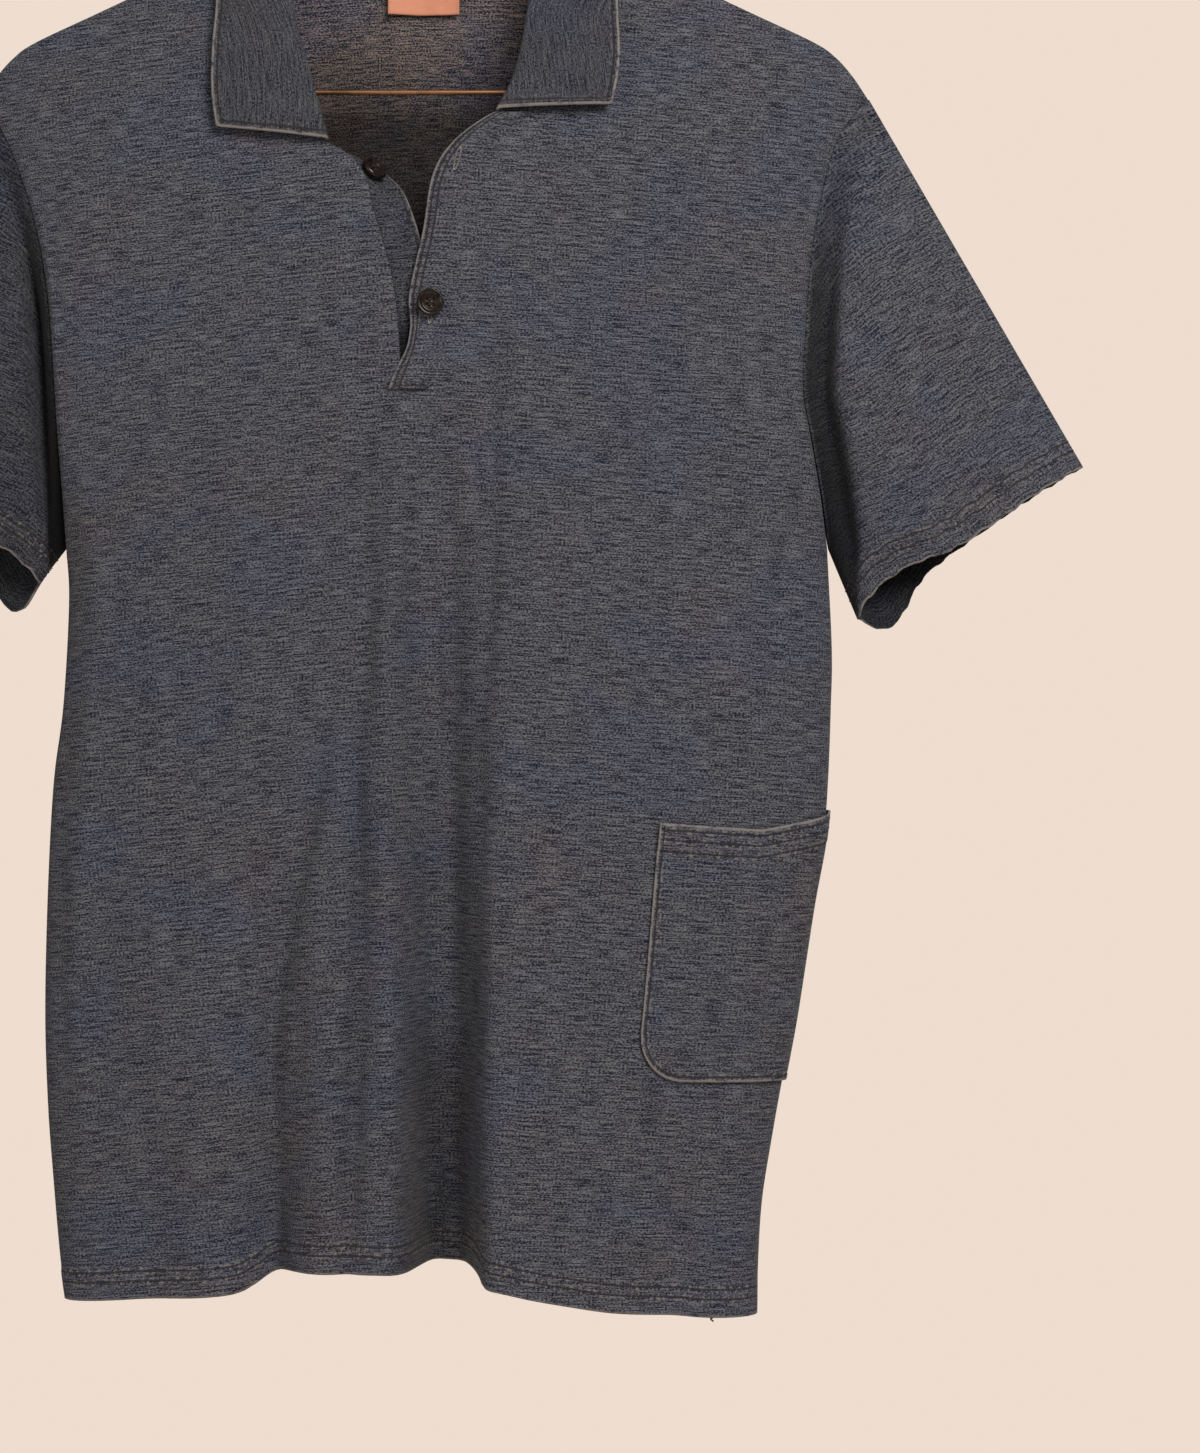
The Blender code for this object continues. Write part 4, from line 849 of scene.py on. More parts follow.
def collar_patch(grids):
    """Stations round the neck: up the stand, over a round roll and down the leaf.

    The stand is straight, the roll is an arc of radius COLLAR_ROLL about a centre below the fold,
    and the leaf is straight with a bow of a parabola, fine waves and a thicker rolled rim.
    """
    seam, normal, inward = neckline(grids)
    steps = np.linalg.norm(np.diff(seam, axis=0), axis=1)
    share = np.concatenate([[0], np.cumsum(steps)]) / steps.sum()
    route = smooth_curve(COLLAR)
    fold = np.stack([np.interp(share, route[:, 0], route[:, i]) for i in (1, 2, 3)], axis=1)
    edge = np.stack([np.interp(share, route[:, 0], route[:, i]) for i in (4, 5, 6)], axis=1)
    tilt = np.clip((unit(fold - seam) * normal).sum(axis=1, keepdims=True), 0, 1)
    ease = COLLAR_EASE * np.exp(-(seam[:, 1:2] / RIDGE / 2) ** 2)
    foot = seam + inward * (COLLAR_SEAM + ease + CLOTH * tilt) - normal * CLOTH
    run = np.gradient(fold, share, axis=0)
    outward = unit(fold - edge)
    across = unit(np.cross(outward, run))
    stand = fold - foot
    lean = np.clip(np.arctan2((stand * across).sum(axis=1), (stand * outward).sum(axis=1)),
                   0, radians(COLLAR_LEAN))
    centre = fold - COLLAR_ROLL * outward
    angle = (lean[:, None] + (pi - lean[:, None]) * np.linspace(0, 1, ROLL_STEPS)[None])[..., None]
    roll = centre[:, None] + COLLAR_ROLL * (np.sin(angle) * outward[:, None]
                                            - np.cos(angle) * across[:, None])
    t = np.linspace(0, 1, STAND_STEPS)[:-1][None, :, None]
    rise = foot[:, None] * (1 - t) + roll[:, :1] * t
    t = np.concatenate([np.linspace(0, RIM_SHARE, LEAF_STEPS)[1:],
                        np.linspace(RIM_SHARE, 1, RIM_STEPS)[1:]])[None, :, None]
    leaf = roll[:, -1:] * (1 - t) + edge[:, None] * t + across[:, None] * COLLAR_BOW * 4 * t * (1 - t)
    length = np.concatenate([[0], np.cumsum(np.linalg.norm(np.diff(edge, axis=0), axis=1))])
    width = np.linalg.norm(edge - roll[:, -1], axis=1)[:, None]
    from_edge = width * (1 - t[..., 0])
    from_end = np.minimum(length, length[-1] - length)[:, None]
    rim = np.minimum(from_edge, from_end + 0 * from_edge)
    wave = 0.35 * np.sin(length[:, None] * 0.13 + 1) * (1 - from_edge / width)
    wave = wave + 0.45 * np.exp(-((rim - 0.9) / 0.9) ** 2) - 0.25 * np.exp(-((rim - 3.1) / 0.8) ** 2)
    leaf = leaf + across[:, None] * wave[..., None]
    points = np.concatenate([rise, roll, leaf], axis=1)
    down = run_length(points, 1)
    near = np.concatenate([40 + 0 * down[:, :rise.shape[1] + roll.shape[1]], rim], axis=1)
    near = np.minimum(near, from_end)
    uv = np.stack([length[:, None] + 0 * down, down], axis=2)
    return {"points": points, "uv": uv, "edge": near, "hem": near}


def slit_edge(grid):
    """The part of a panel's middle border that is the placket's slit."""
    return grid[grid_row(NECK_ROWS):grid_row(ARM_ROWS) + 1, -1]


def panel_line(grid, height):
    """Points (x, y) where a panel's columns, in order of x, cross a height."""
    columns = grid[:, ::-1] if grid[-1, 0, 0] > grid[-1, -1, 0] else grid
    return np.array([(np.interp(-height, -column[:, 2], column[:, 0]),
                      np.interp(-height, -column[:, 2], column[:, 1]))
                     for column in columns.transpose(1, 0, 2)])


def placket_top_patch(grids):
    """Strip over the right half: the slit's edge carried across, with a rounded free edge, and
    its inner border laid down on the panel."""
    panel = grids["front", "right"]
    edge = along(slit_edge(panel), np.linspace(0, 1, STRIP_ROWS))
    inner = STRIP_WIDTH - STRIP_LAP
    across = np.concatenate([np.linspace(-STRIP_LAP, 0, 13)[:-1], np.linspace(0, 12, 13)[:-1],
                             np.linspace(12, inner, 9)])
    points = np.repeat(edge[:, None], len(across), axis=1)
    from_edge = np.broadcast_to(across + STRIP_LAP, points.shape[:2])
    points[..., 0] += across[None]
    points[..., 1] -= LAID + TRIM
    down = run_length(points, 0)
    gape = np.exp(-np.abs((down - SLOT_AT) / SLOT_HALF) ** 3)
    gape = gape * np.clip(1 - from_edge / SLOT_WIDTH, 0, 1)
    points[..., 0] += SLOT_GAPE * gape
    lift = STRIP_ROLL * np.exp(-((from_edge - RIM_AWAY) / RIM_WIDTH) ** 2)
    for at, depth in STRIP_GROOVES:
        lift = lift - depth * np.exp(-((from_edge - at) / GROOVE_WIDTH) ** 2)
    lift = lift * (1 + 0.4 * np.sin(down * 0.9) * np.sin(down * 0.23))
    points[..., 1] -= lift
    laid = smooth_step((from_edge - STRIP_LAID) / STRIP_LAY)
    heights = points[:, -1, 2]
    level = np.array([np.interp(x, near[:, 0], near[:, 1]) for x, near in zip(
        points[..., 0], (panel_line(panel, z) for z in heights))])
    points[..., 1] = points[..., 1] * (1 - laid) + (level + STRIP_SUNK) * laid
    top = np.clip((points[0, :, 2] - STRIP_TOP), 0, None)
    points[..., 2] -= top[None] * np.exp(-down / 6)
    low = down[-1:] - down
    uv = np.stack([across[None] + 0 * down, course_height(points, "right")], axis=2)
    return {"points": points, "uv": uv,
            "edge": from_edge + 0 * down, "hem": low}


def placket_under_patch(grids):
    """Strip behind the left half, whose top end turns into the neck by a falling angle."""
    down = np.linspace(0, 1, STRIP_ROWS)
    edge = along(slit_edge(grids["front", "left"]), down)
    turn = np.radians(np.interp(down, *np.transpose(UNDER_TURN)))
    turn = np.convolve(np.pad(turn, 4, mode="edge"), np.full(9, 1 / 9), mode="valid")
    rim = STRIP_WIDTH - UNDER_LAP
    across = np.concatenate([[-UNDER_LAP], np.linspace(0, rim - 4, 17), np.linspace(rim - 4, rim, 9)[1:]])
    points = np.repeat(edge[:, None], len(across), axis=1)
    reach = np.clip(across, 0, None)[None]
    points[..., 0] += np.clip(across, None, 0)[None] + reach * np.cos(turn)[:, None]
    points[..., 1] += CLOTH + LAID + reach * np.sin(turn)[:, None]
    length = run_length(points, 0)
    near = (rim - across)[None] + 0 * length
    points[..., 1] -= UNDER_RIM * np.exp(-((near - RIM_AWAY) / RIM_WIDTH) ** 2)
    course = points[..., 2] + DROOP["left"] * np.abs(points[..., 0])
    uv = np.stack([points[..., 0], course], axis=2)
    # The strip's lower part, seen through the top strip's slot, takes a painted shade.
    return {"points": points, "uv": uv, "edge": near, "hem": length,
            "painted_shade": smooth_step((length - UNDER_PAINTED_SHADE) / UNDER_PAINTED_SHADE_FADE)}


def pocket_patch(grids):
    """Patch over the right side seam: panel columns between two heights, moved straight out."""
    front, back = grids["front", "right"], grids["back", "right"]

    def fine(column, steps):
        """Grid column of a column number, past the doubled first one."""
        return np.where(column <= 1, column, 1 + (column - 1) * steps)

    front_columns = np.concatenate([np.linspace(POCKET_FRONT_COLUMN, POCKET_FRONT_COLUMN - 2, 29)[:-1],
                                    np.linspace(POCKET_FRONT_COLUMN - 2, 1, 36)])
    back_columns = np.linspace(1, POCKET_BACK_COLUMN, 22)
    parts = ((front, (0, -1, 0), fine(front_columns, FRONT_FINE)),
             (back, (0, 1, 0), fine(back_columns, BACK_FINE)))
    rows = np.arange(front.shape[0], dtype=float)
    lines, outs = [], []
    for grid, away, columns in parts:
        lines.append(sample(grid, rows[:, None], columns[None]))
        outs.append(unit(sample(grid_normals(grid, away), rows[:, None], columns[None])))
    line = np.concatenate(lines, axis=1)
    out = np.concatenate(outs, axis=1)
    waist = int(np.argmin(np.abs(line[:, 0, 2] - POCKET_WAIST)))
    run = run_length(line[waist:waist + 1], 1)[0]
    share = run / run[-1]
    short = np.clip(POCKET_CORNER - run, 0, None)
    lift = POCKET_CORNER - np.sqrt(POCKET_CORNER**2 - short**2)
    top = np.interp(share, np.linspace(0, 1, 4), POCKET_TOP)
    bottom = np.interp(share, np.linspace(0, 1, 4), POCKET_BOTTOM) + lift
    t = np.concatenate([np.linspace(0, 0.14, 19)[:-1], np.linspace(0.14, 0.94, 36)[:-1],
                        np.linspace(0.94, 1, 9)])[:, None]
    height = top[None] * (1 - t) + bottom[None] * t
    span = np.stack([np.interp(-height[:, c], -line[:, c, 2], rows) for c in range(len(run))], axis=1)
    columns = np.broadcast_to(np.arange(len(run), dtype=float), span.shape)
    direction = unit(sample(out, span, columns))
    from_top = top[None] - height
    from_low = height - bottom[None]
    from_side = run[None] + 0 * height
    edge = np.minimum(from_low, from_side)
    round_corner = POCKET_CORNER - np.hypot(np.clip(POCKET_CORNER - from_side, 0, None),
                                            np.clip(POCKET_CORNER - (height - np.interp(
                                                share, np.linspace(0, 1, 4), POCKET_BOTTOM)[None]), 0, None))
    corner = (from_side < POCKET_CORNER) & (height - POCKET_BOTTOM[0] < POCKET_CORNER)
    edge = np.where(corner, np.minimum(edge, round_corner), edge)
    relief = 0.45 * np.exp(-((edge - 0.8) / 0.8) ** 2) - 0.3 * np.exp(-((edge - 2.6) / 0.7) ** 2)
    for row in POCKET_ROWS:
        relief = relief - 0.4 * np.exp(-((from_top - row) / 0.8) ** 2)
    relief = relief + 0.25 * np.sin(run[None] * 1.15 + 0.4 * np.sin(run[None])) * (from_top < BAND)
    relief = relief + BAND_LIFT / (1 + np.exp((from_top - BAND) / BAND_STEP))
    points = sample(line, span, columns) + direction * (LAID + TRIM + relief)[..., None]
    course = points[..., 2] + DROOP["right"] * np.abs(points[..., 0])
    return {"points": points, "uv": np.stack([run[None] + 0 * height, course], axis=2),
            "edge": edge, "hem": from_top}


def label_patch():
    """Bare label inside the back: a parabola across, its sides a little curled."""
    x, z = np.meshgrid(np.linspace(-LABEL[0] / 2, LABEL[0] / 2, 39) + LABEL_SHIFT,
                       LABEL_TOP - np.linspace(0, LABEL[1], 25))
    y = middle_depth(z, True) - CLOTH - LABEL_WALL - LAID - LABEL_BOW * x**2
    y = y - 0.25 * np.sin(x * 0.35) - 0.6 * ((LABEL_TOP - z) / LABEL[1]) ** 2
    edge = np.minimum(LABEL[0] / 2 - np.abs(x - LABEL_SHIFT), z - LABEL_TOP + LABEL[1])
    return {"points": np.stack([x, y, z], axis=2), "uv": np.stack([x, z], axis=2), "edge": edge,
            "hem": LABEL_TOP - z}


# ---------------------------------------------------------------- buttons, hanger
def button_patch(centre, normal):
    """A turned button with four wells: height over radius r is a rim profile, less a sharp bell
    at each well; the underside closes the form."""
    r = np.concatenate([np.linspace(0, 4.4, 30), np.linspace(4.5, BUTTON / 2, 18)])
    profile = np.interp(r, (0, 4.2, 5.0, 5.7, 6.4, 6.85, 7.0), (1.45, 1.5, 2.1, 2.55, 2.6, 2.2, 1.7))
    under_r = np.array((6.9, 6.5, 4.0, 0.0))
    under_h = np.array((0.8, 0.25, 0.0, 0.0))
    turn = np.linspace(0, 2 * pi, 73)
    x = r[:, None] * np.cos(turn)[None]
    y = r[:, None] * np.sin(turn)[None]
    height = profile[:, None] + 0 * x
    for sx, sy in ((1, 1), (1, -1), (-1, 1), (-1, -1)):
        away = np.hypot(x - sx * BUTTON_WELL, y - sy * BUTTON_WELL) / 0.72
        height = height - 1.2 * np.exp(-away**4)
    x = np.concatenate([x, under_r[:, None] * np.cos(turn)[None]])
    y = np.concatenate([y, under_r[:, None] * np.sin(turn)[None]])
    height = np.concatenate([height, under_h[:, None] + 0 * turn[None]])
    out = unit(np.asarray(normal, float))
    side = unit(np.cross((0.0, 0.0, 1.0), out))
    up = np.cross(out, side)
    points = (np.asarray(centre) + x[..., None] * side + y[..., None] * up + height[..., None] * out)
    flat = np.stack([x, y], axis=2)
    return {"points": points, "uv": flat, "edge": height, "hem": height}, (side, up, out)


def button_mesh(name, patch):
    """The button's mesh, its poles and seam merged."""
    middle = patch["points"].mean((0, 1)) * MM
    mesh = cloth_mesh(name, [patch], lambda points: points - middle)
    join_patches(mesh)
    return mesh


def button_threads(centre, frame_of):
    """Two pairs of thread arches between the wells."""
    side, up, out = frame_of
    t = np.linspace(0, 1, 9)[:, None]
    paths = []
    for sy in (-1, 1):
        for shift in (-0.25, 0.25):
            x = BUTTON_WELL * (2 * t - 1)
            lift = 1.05 + 0.95 * np.sin(pi * t)
            paths.append(np.asarray(centre) + x * side + (sy * BUTTON_WELL + shift) * up + lift * out)
    return paths


def hanger_route():
    """Middle of the wire: hook, stem, left arm, bar, right arm, and two turns round the stem."""
    hook = HOOK_RADIUS + WIRE / 2
    slant = np.arctan(ARM_SLOPE)
    bend_x = (ARM_TOP - BAR_HEIGHT) / ARM_SLOPE - BEND_RADIUS / np.tan(slant / 2)
    turn = np.radians(np.linspace(205, -60, 60))
    top = np.stack([hook * np.cos(turn), -HOOK_RADIUS + hook * np.sin(turn)], axis=1)
    stem = -HOOK_RADIUS - hook * 1.55
    t = np.array((0.3, 0.55, 0.8))
    neck = np.stack([top[-1, 0] * (1 - t) ** 2, top[-1, 1] + (stem - top[-1, 1]) * t], axis=1)
    down = np.stack([np.zeros(4), np.linspace(stem, ARM_TOP + 3, 4)], axis=1)
    start = np.array([[-6.0, ARM_TOP - ARM_SLOPE * 6.0]])
    turn = np.linspace(pi / 2 + slant, 1.5 * pi, 15)
    bend = np.stack([-bend_x + BEND_RADIUS * np.cos(turn),
                     BAR_HEIGHT + BEND_RADIUS + BEND_RADIUS * np.sin(turn)], axis=1)
    spacing = WIRE + 0.5
    elbow = spacing + 5.0
    join = np.array([[elbow, ARM_TOP - ARM_SLOPE * elbow], [spacing + 1.2, ARM_TOP + 3.0]])
    flat = np.vstack([top, neck, down, start, bend, bend[::-1] * (-1, 1), join])
    route = np.stack([flat[:, 0], 0 * flat[:, 0], flat[:, 1]], axis=1)
    n = np.arange(0, 28, 0.5)[:, None]
    angle = 2 * pi * n / 12
    coil = np.hstack([spacing * np.cos(angle), -spacing * np.sin(angle),
                      ARM_TOP + 8.0 + (WIRE + 0.6) * n / 12])
    return np.vstack([route, coil])


# ---------------------------------------------------------------- shader parts
def add(tree, kind, inputs=None, **settings):
    """A node with its settings; inputs maps a socket's name or number to a value or a socket."""
    made = tree.nodes.new(kind)
    for key, value in settings.items():
        setattr(made, key, value)
    for key, value in (inputs or {}).items():
        if isinstance(value, bpy.types.NodeSocket):
            tree.links.new(value, made.inputs[key])
        else:
            made.inputs[key].default_value = value
    return made


def maths(tree, operation, *values, clamp=False):
    """The result of a Math node."""
    return add(tree, "ShaderNodeMath", dict(enumerate(values)), operation=operation,
               use_clamp=clamp).outputs[0]


def stretched_noise(tree, vector, scale, offset, detail):
    """Noise whose features are scale[0] by scale[1] per metre along and across the courses."""
    moved = add(tree, "ShaderNodeMapping", {"Vector": vector, "Scale": (scale[0], scale[1], 1.0),
                                            "Location": (offset, offset * 1.7, 0.0)})
    made = add(tree, "ShaderNodeTexNoise", {"Vector": moved.outputs[0], "Scale": 1.0, "Detail": detail,
                                            "Roughness": 0.6}, noise_dimensions="2D")
    return made.outputs["Fac"]


def mix(tree, factor, first, second, blend="MIX"):
    """The result of a colour Mix node."""
    made = tree.nodes.new("ShaderNodeMix")
    made.data_type = "RGBA"
    made.blend_type = blend
    for index, value in ((0, factor), (6, first), (7, second)):
        if isinstance(value, bpy.types.NodeSocket):
            tree.links.new(value, made.inputs[index])
        else:
            made.inputs[index].default_value = value
    return made.outputs[2]


def ramp(tree, value, low, high):
    """Smooth step of a value between low and high."""
    made = add(tree, "ShaderNodeMapRange", {"Value": value, "From Min": low, "From Max": high},
               interpolation_type="SMOOTHSTEP")
    return made.outputs["Result"]


def new_group(name, inputs, outputs):
    """An empty shader node group with named sockets, and its input and output nodes."""
    tree = bpy.data.node_groups.new(name, "ShaderNodeTree")
    for socket, kind, value in inputs:
        made = tree.interface.new_socket(name=socket, in_out="INPUT", socket_type="NodeSocket" + kind)
        if value is not None:
            made.default_value = value
    for socket, kind in outputs:
        tree.interface.new_socket(name=socket, in_out="OUTPUT", socket_type="NodeSocket" + kind)
    return tree, tree.nodes.new("NodeGroupInput"), tree.nodes.new("NodeGroupOutput")


def slub_knit_group():
    """Fine knit of uneven yarn: long thin light and dark slubs along the courses, grain and slow
    blotches of uneven dyeing."""
    tree, given, out = new_group(
        "slub_knit",
        [("Vector", "Vector", None), ("Ground", "Color", (0.08, 0.08, 0.09, 1)),
         ("Light", "Color", (0.2, 0.2, 0.2, 1)), ("Dark", "Color", (0.02, 0.02, 0.03, 1)),
         ("Slub", "Float", 1.0), ("Blotch", "Float", 1.0)],
        [("Color", "Color"), ("Height", "Float")])
    uv = given.outputs["Vector"]
    slub = stretched_noise(tree, uv, (92.0, 1650.0), 3.1, 1.5)
    band = stretched_noise(tree, uv, (34.0, 900.0), 7.7, 1.0)
    grain = stretched_noise(tree, uv, (900.0, 1400.0), 1.3, 0.0)
    cloud = stretched_noise(tree, uv, (13.0, 17.0), 5.9, 2.0)
    warm = stretched_noise(tree, uv, (19.0, 15.0), 9.2, 1.0)
    tone = maths(tree, "ADD", maths(tree, "MULTIPLY", maths(tree, "SUBTRACT", slub, 0.5), 1.8),
                 maths(tree, "MULTIPLY", maths(tree, "SUBTRACT", band, 0.5), 0.65))
    tone = maths(tree, "ADD", tone, maths(tree, "MULTIPLY", maths(tree, "SUBTRACT", grain, 0.5), 1.6))
    parts = add(tree, "ShaderNodeSeparateXYZ", {0: uv})
    course = maths(tree, "ADD", maths(tree, "MULTIPLY", parts.outputs[1], 2 * pi / COURSE_PITCH),
                   maths(tree, "MULTIPLY", cloud, 5.0))
    tone = maths(tree, "ADD", tone, maths(tree, "MULTIPLY", maths(tree, "SINE", course), 0.07))
    tone = maths(tree, "MULTIPLY", tone, given.outputs["Slub"])
    lighter = maths(tree, "MULTIPLY", tone, LIGHTER, clamp=True)
    darker = maths(tree, "MULTIPLY", tone, DARKER, clamp=True)
    colour = mix(tree, lighter, given.outputs["Ground"], given.outputs["Light"])
    colour = mix(tree, darker, colour, given.outputs["Dark"])
    blue = maths(tree, "MULTIPLY", ramp(tree, cloud, 0.42, 0.72), given.outputs["Blotch"])
    colour = mix(tree, blue, colour, (0.84, 0.92, 1.14, 1), "MULTIPLY")
    rust = maths(tree, "MULTIPLY", ramp(tree, warm, 0.5, 0.8), given.outputs["Blotch"])
    colour = mix(tree, rust, colour, (1.10, 0.99, 0.96, 1), "MULTIPLY")
    tree.links.new(colour, out.inputs["Color"])
    wale = maths(tree, "SINE", maths(tree, "MULTIPLY", parts.outputs[0], 2 * pi / WALE_PITCH))
    height = maths(tree, "ADD", tone, maths(tree, "MULTIPLY", wale, 0.18))
    tree.links.new(height, out.inputs["Height"])
    return tree


def stitch_row_group():
    """A sewn row at a distance from an edge: a dark groove with rubbed puckers on both sides."""
    tree, given, out = new_group(
        "stitch_row",
        [("Vector", "Vector", None), ("Color", "Color", (0.1, 0.1, 0.1, 1)),
         ("Height", "Float", 0.0), ("Distance", "Float", 0.0), ("Row", "Float", 0.01),
         ("Worn", "Color", (0.3, 0.3, 0.3, 1)), ("Thread", "Color", (0.02, 0.02, 0.02, 1)),
         ("Pucker", "Float", 0.5)],
        [("Color", "Color"), ("Height", "Float")])
    off = maths(tree, "ABSOLUTE", maths(tree, "SUBTRACT", given.outputs["Distance"],
                                        given.outputs["Row"]))
    groove = maths(tree, "SUBTRACT", 1.0, ramp(tree, off, 0.0002, 0.0008))
    near = maths(tree, "SUBTRACT", 1.0, ramp(tree, off, 0.0009, 0.0028))
    fleck = stretched_noise(tree, given.outputs["Vector"], (420.0, 300.0), 2.2, 1.0)
    rub = maths(tree, "MULTIPLY", maths(tree, "MULTIPLY", near, ramp(tree, fleck, 0.5, 0.72)),
                given.outputs["Pucker"])
    colour = mix(tree, rub, given.outputs["Color"], given.outputs["Worn"])
    colour = mix(tree, maths(tree, "MULTIPLY", groove, 0.8), colour, given.outputs["Thread"])
    tree.links.new(colour, out.inputs["Color"])
    height = maths(tree, "SUBTRACT", given.outputs["Height"], maths(tree, "MULTIPLY", groove, 1.6))
    height = maths(tree, "ADD", height, maths(tree, "MULTIPLY", rub, 0.9))
    tree.links.new(height, out.inputs["Height"])
    return tree


def worn_edge_group():
    """Dye rubbed off a rim: an uneven light line within Width of an edge."""
    tree, given, out = new_group(
        "worn_edge",
        [("Vector", "Vector", None), ("Color", "Color", (0.1, 0.1, 0.1, 1)),
         ("Distance", "Float", 0.0), ("Width", "Float", 0.0012), ("Amount", "Float", 0.8),
         ("Worn", "Color", (0.3, 0.3, 0.3, 1))],
        [("Color", "Color"), ("Mask", "Float")])
    patchy = stretched_noise(tree, given.outputs["Vector"], (160.0, 160.0), 4.4, 2.0)
    width = maths(tree, "MULTIPLY", given.outputs["Width"], maths(tree, "ADD", patchy, 0.5))
    inside = maths(tree, "DIVIDE", given.outputs["Distance"], width)
    mask = maths(tree, "SUBTRACT", 1.0, ramp(tree, inside, 0.55, 1.25))
    mask = maths(tree, "MULTIPLY", mask, ramp(tree, patchy, 0.22, 0.5))
    mask = maths(tree, "MULTIPLY", mask, given.outputs["Amount"])
    tree.links.new(mix(tree, mask, given.outputs["Color"], given.outputs["Worn"]),
                   out.inputs["Color"])
    tree.links.new(mask, out.inputs["Mask"])
    return tree


def group_node(tree, name, inputs):
    """A placed node group, built on first use."""
    makers = {"slub_knit": slub_knit_group, "stitch_row": stitch_row_group,
              "worn_edge": worn_edge_group}
    group = bpy.data.node_groups.get(name) or makers[name]()
    node = tree.nodes.new("ShaderNodeGroup")
    node.node_tree = group
    for key, value in inputs.items():
        if isinstance(value, bpy.types.NodeSocket):
            tree.links.new(value, node.inputs[key])
        else:
            node.inputs[key].default_value = value
    return node


def new_material(name, roughness, metallic=0.0, sheen=0.0):
    """A named material, its tree and its Principled shader with plain settings."""
    made = bpy.data.materials.new(name)
    made.use_nodes = True
    shader = made.node_tree.nodes["Principled BSDF"]
    shader.inputs["Roughness"].default_value = roughness
    shader.inputs["Metallic"].default_value = metallic
    shader.inputs["Sheen Weight"].default_value = sheen
    shader.inputs["Sheen Roughness"].default_value = 0.5
    return made, made.node_tree, shader


def rgba(colour):
    """A colour with full alpha."""
    return (*colour, 1.0)


def attribute(tree, name):
    """The value that a mesh attribute has at a point."""
    return add(tree, "ShaderNodeAttribute", attribute_name=name).outputs["Fac"]


def knit_material(name, colours, slub=1.0, blotch=0.6, rows=(), edge_rows=(), edge_width=0.0,
                  hem_width=0.0, rub=0.8, shade=1.0, pucker=0.6, folds=0.55, inside=False, painted_shade_to=1.0):
    """Washed slub knit; rows are stitched at distances from the hem and edge_rows from the edge,
    both rims may be rubbed light, folds is how far a painted shade darkens the folds, and
    below the neck a painted shade takes the tone down to the share lowered."""
    made, tree, shader = new_material(name, 0.92, sheen=FLUFF)
    shader.inputs["Specular IOR Level"].default_value = GLINT
    uv = add(tree, "ShaderNodeUVMap", uv_map="cloth").outputs[0]
    ground = colours.inside if inside else colours.knit
    light = colours.inside_light if inside else colours.knit_light
    knit = group_node(tree, "slub_knit", {
        "Vector": uv, "Ground": rgba([c * shade for c in ground]),
        "Light": rgba([c * shade for c in light]), "Dark": rgba([c * shade for c in colours.knit_dark]),
        "Slub": slub, "Blotch": blotch})
    colour, height = knit.outputs["Color"], knit.outputs["Height"]
    for key, distances in (("hem", rows), ("edge", edge_rows)):
        for distance in distances:
            row = group_node(tree, "stitch_row", {
                "Vector": uv, "Color": colour, "Height": height, "Distance": attribute(tree, key),
                "Row": distance, "Worn": rgba(colours.worn), "Thread": rgba(colours.thread),
                "Pucker": pucker})
            colour, height = row.outputs["Color"], row.outputs["Height"]
    for key, width in (("hem", hem_width), ("edge", edge_width)):
        if width:
            worn = group_node(tree, "worn_edge", {
                "Vector": uv, "Color": colour, "Distance": attribute(tree, key), "Width": width,
                "Amount": rub, "Worn": rgba(colours.worn)})
            colour = worn.outputs["Color"]
    # Painted shade: the mesh's share darkens folds, troughs and the strip's foot towards black.
    painted_dark = maths(tree, "MULTIPLY", attribute(tree, "painted_shade"), folds)
    colour = mix(tree, painted_dark, colour, (0.0, 0.0, 0.0, 1.0))
    # Painted shade on the inside: darker below the neck.
    if painted_shade_to < 1:
        place_of = add(tree, "ShaderNodeTexCoord").outputs["Object"]
        height_of = add(tree, "ShaderNodeSeparateXYZ", {0: place_of}).outputs[2]
        below = maths(tree, "SUBTRACT", 1.0, ramp(tree, height_of, *SHADE_HEIGHTS))
        colour = mix(tree, below, colour, (painted_shade_to, painted_shade_to, painted_shade_to, 1.0), "MULTIPLY")
    tree.links.new(colour, shader.inputs["Base Color"])
    bump = add(tree, "ShaderNodeBump", {"Height": height, "Strength": 0.5, "Distance": 0.0003})
    tree.links.new(bump.outputs[0], shader.inputs["Normal"])
    return made


def thread_material(name, colour):
    """Twisted thread: a fine grain in colour and bump."""
    made, tree, shader = new_material(name, 0.8, sheen=0.1)
    place_of = add(tree, "ShaderNodeTexCoord").outputs["Object"]
    grain = add(tree, "ShaderNodeTexNoise", {"Vector": place_of, "Scale": 900.0}).outputs["Fac"]
    tree.links.new(mix(tree, grain, rgba([c * 0.6 for c in colour]), rgba([c * 1.6 for c in colour])),
                   shader.inputs["Base Color"])
    bump = add(tree, "ShaderNodeBump", {"Height": grain, "Strength": 0.4, "Distance": 0.0002})
    tree.links.new(bump.outputs[0], shader.inputs["Normal"])
    return made


def button_material(colours):
    """Dark polished horn: slow brown clouds, fine scratches and a clear coat."""
    made, tree, shader = new_material("button_horn", 0.3)
    place_of = add(tree, "ShaderNodeTexCoord").outputs["Object"]
    cloud = add(tree, "ShaderNodeTexNoise", {"Vector": place_of, "Scale": 260.0, "Detail": 3.0})
    tone = ramp(tree, cloud.outputs["Fac"], 0.4, 0.75)
    brown = rgba([min(1, c * 3.0) for c in colours.button])
    tree.links.new(mix(tree, tone, rgba(colours.button), brown), shader.inputs["Base Color"])
    scratch = add(tree, "ShaderNodeTexNoise", {"Vector": place_of, "Scale": 2400.0})
    rough = add(tree, "ShaderNodeMapRange", {"Value": scratch.outputs["Fac"], "To Min": 0.1,
                                             "To Max": 0.28})
    tree.links.new(rough.outputs[0], shader.inputs["Roughness"])
    shader.inputs["Specular IOR Level"].default_value = 0.3
    shader.inputs["Coat Weight"].default_value = 0.25
    shader.inputs["Coat Roughness"].default_value = 0.08
    return made


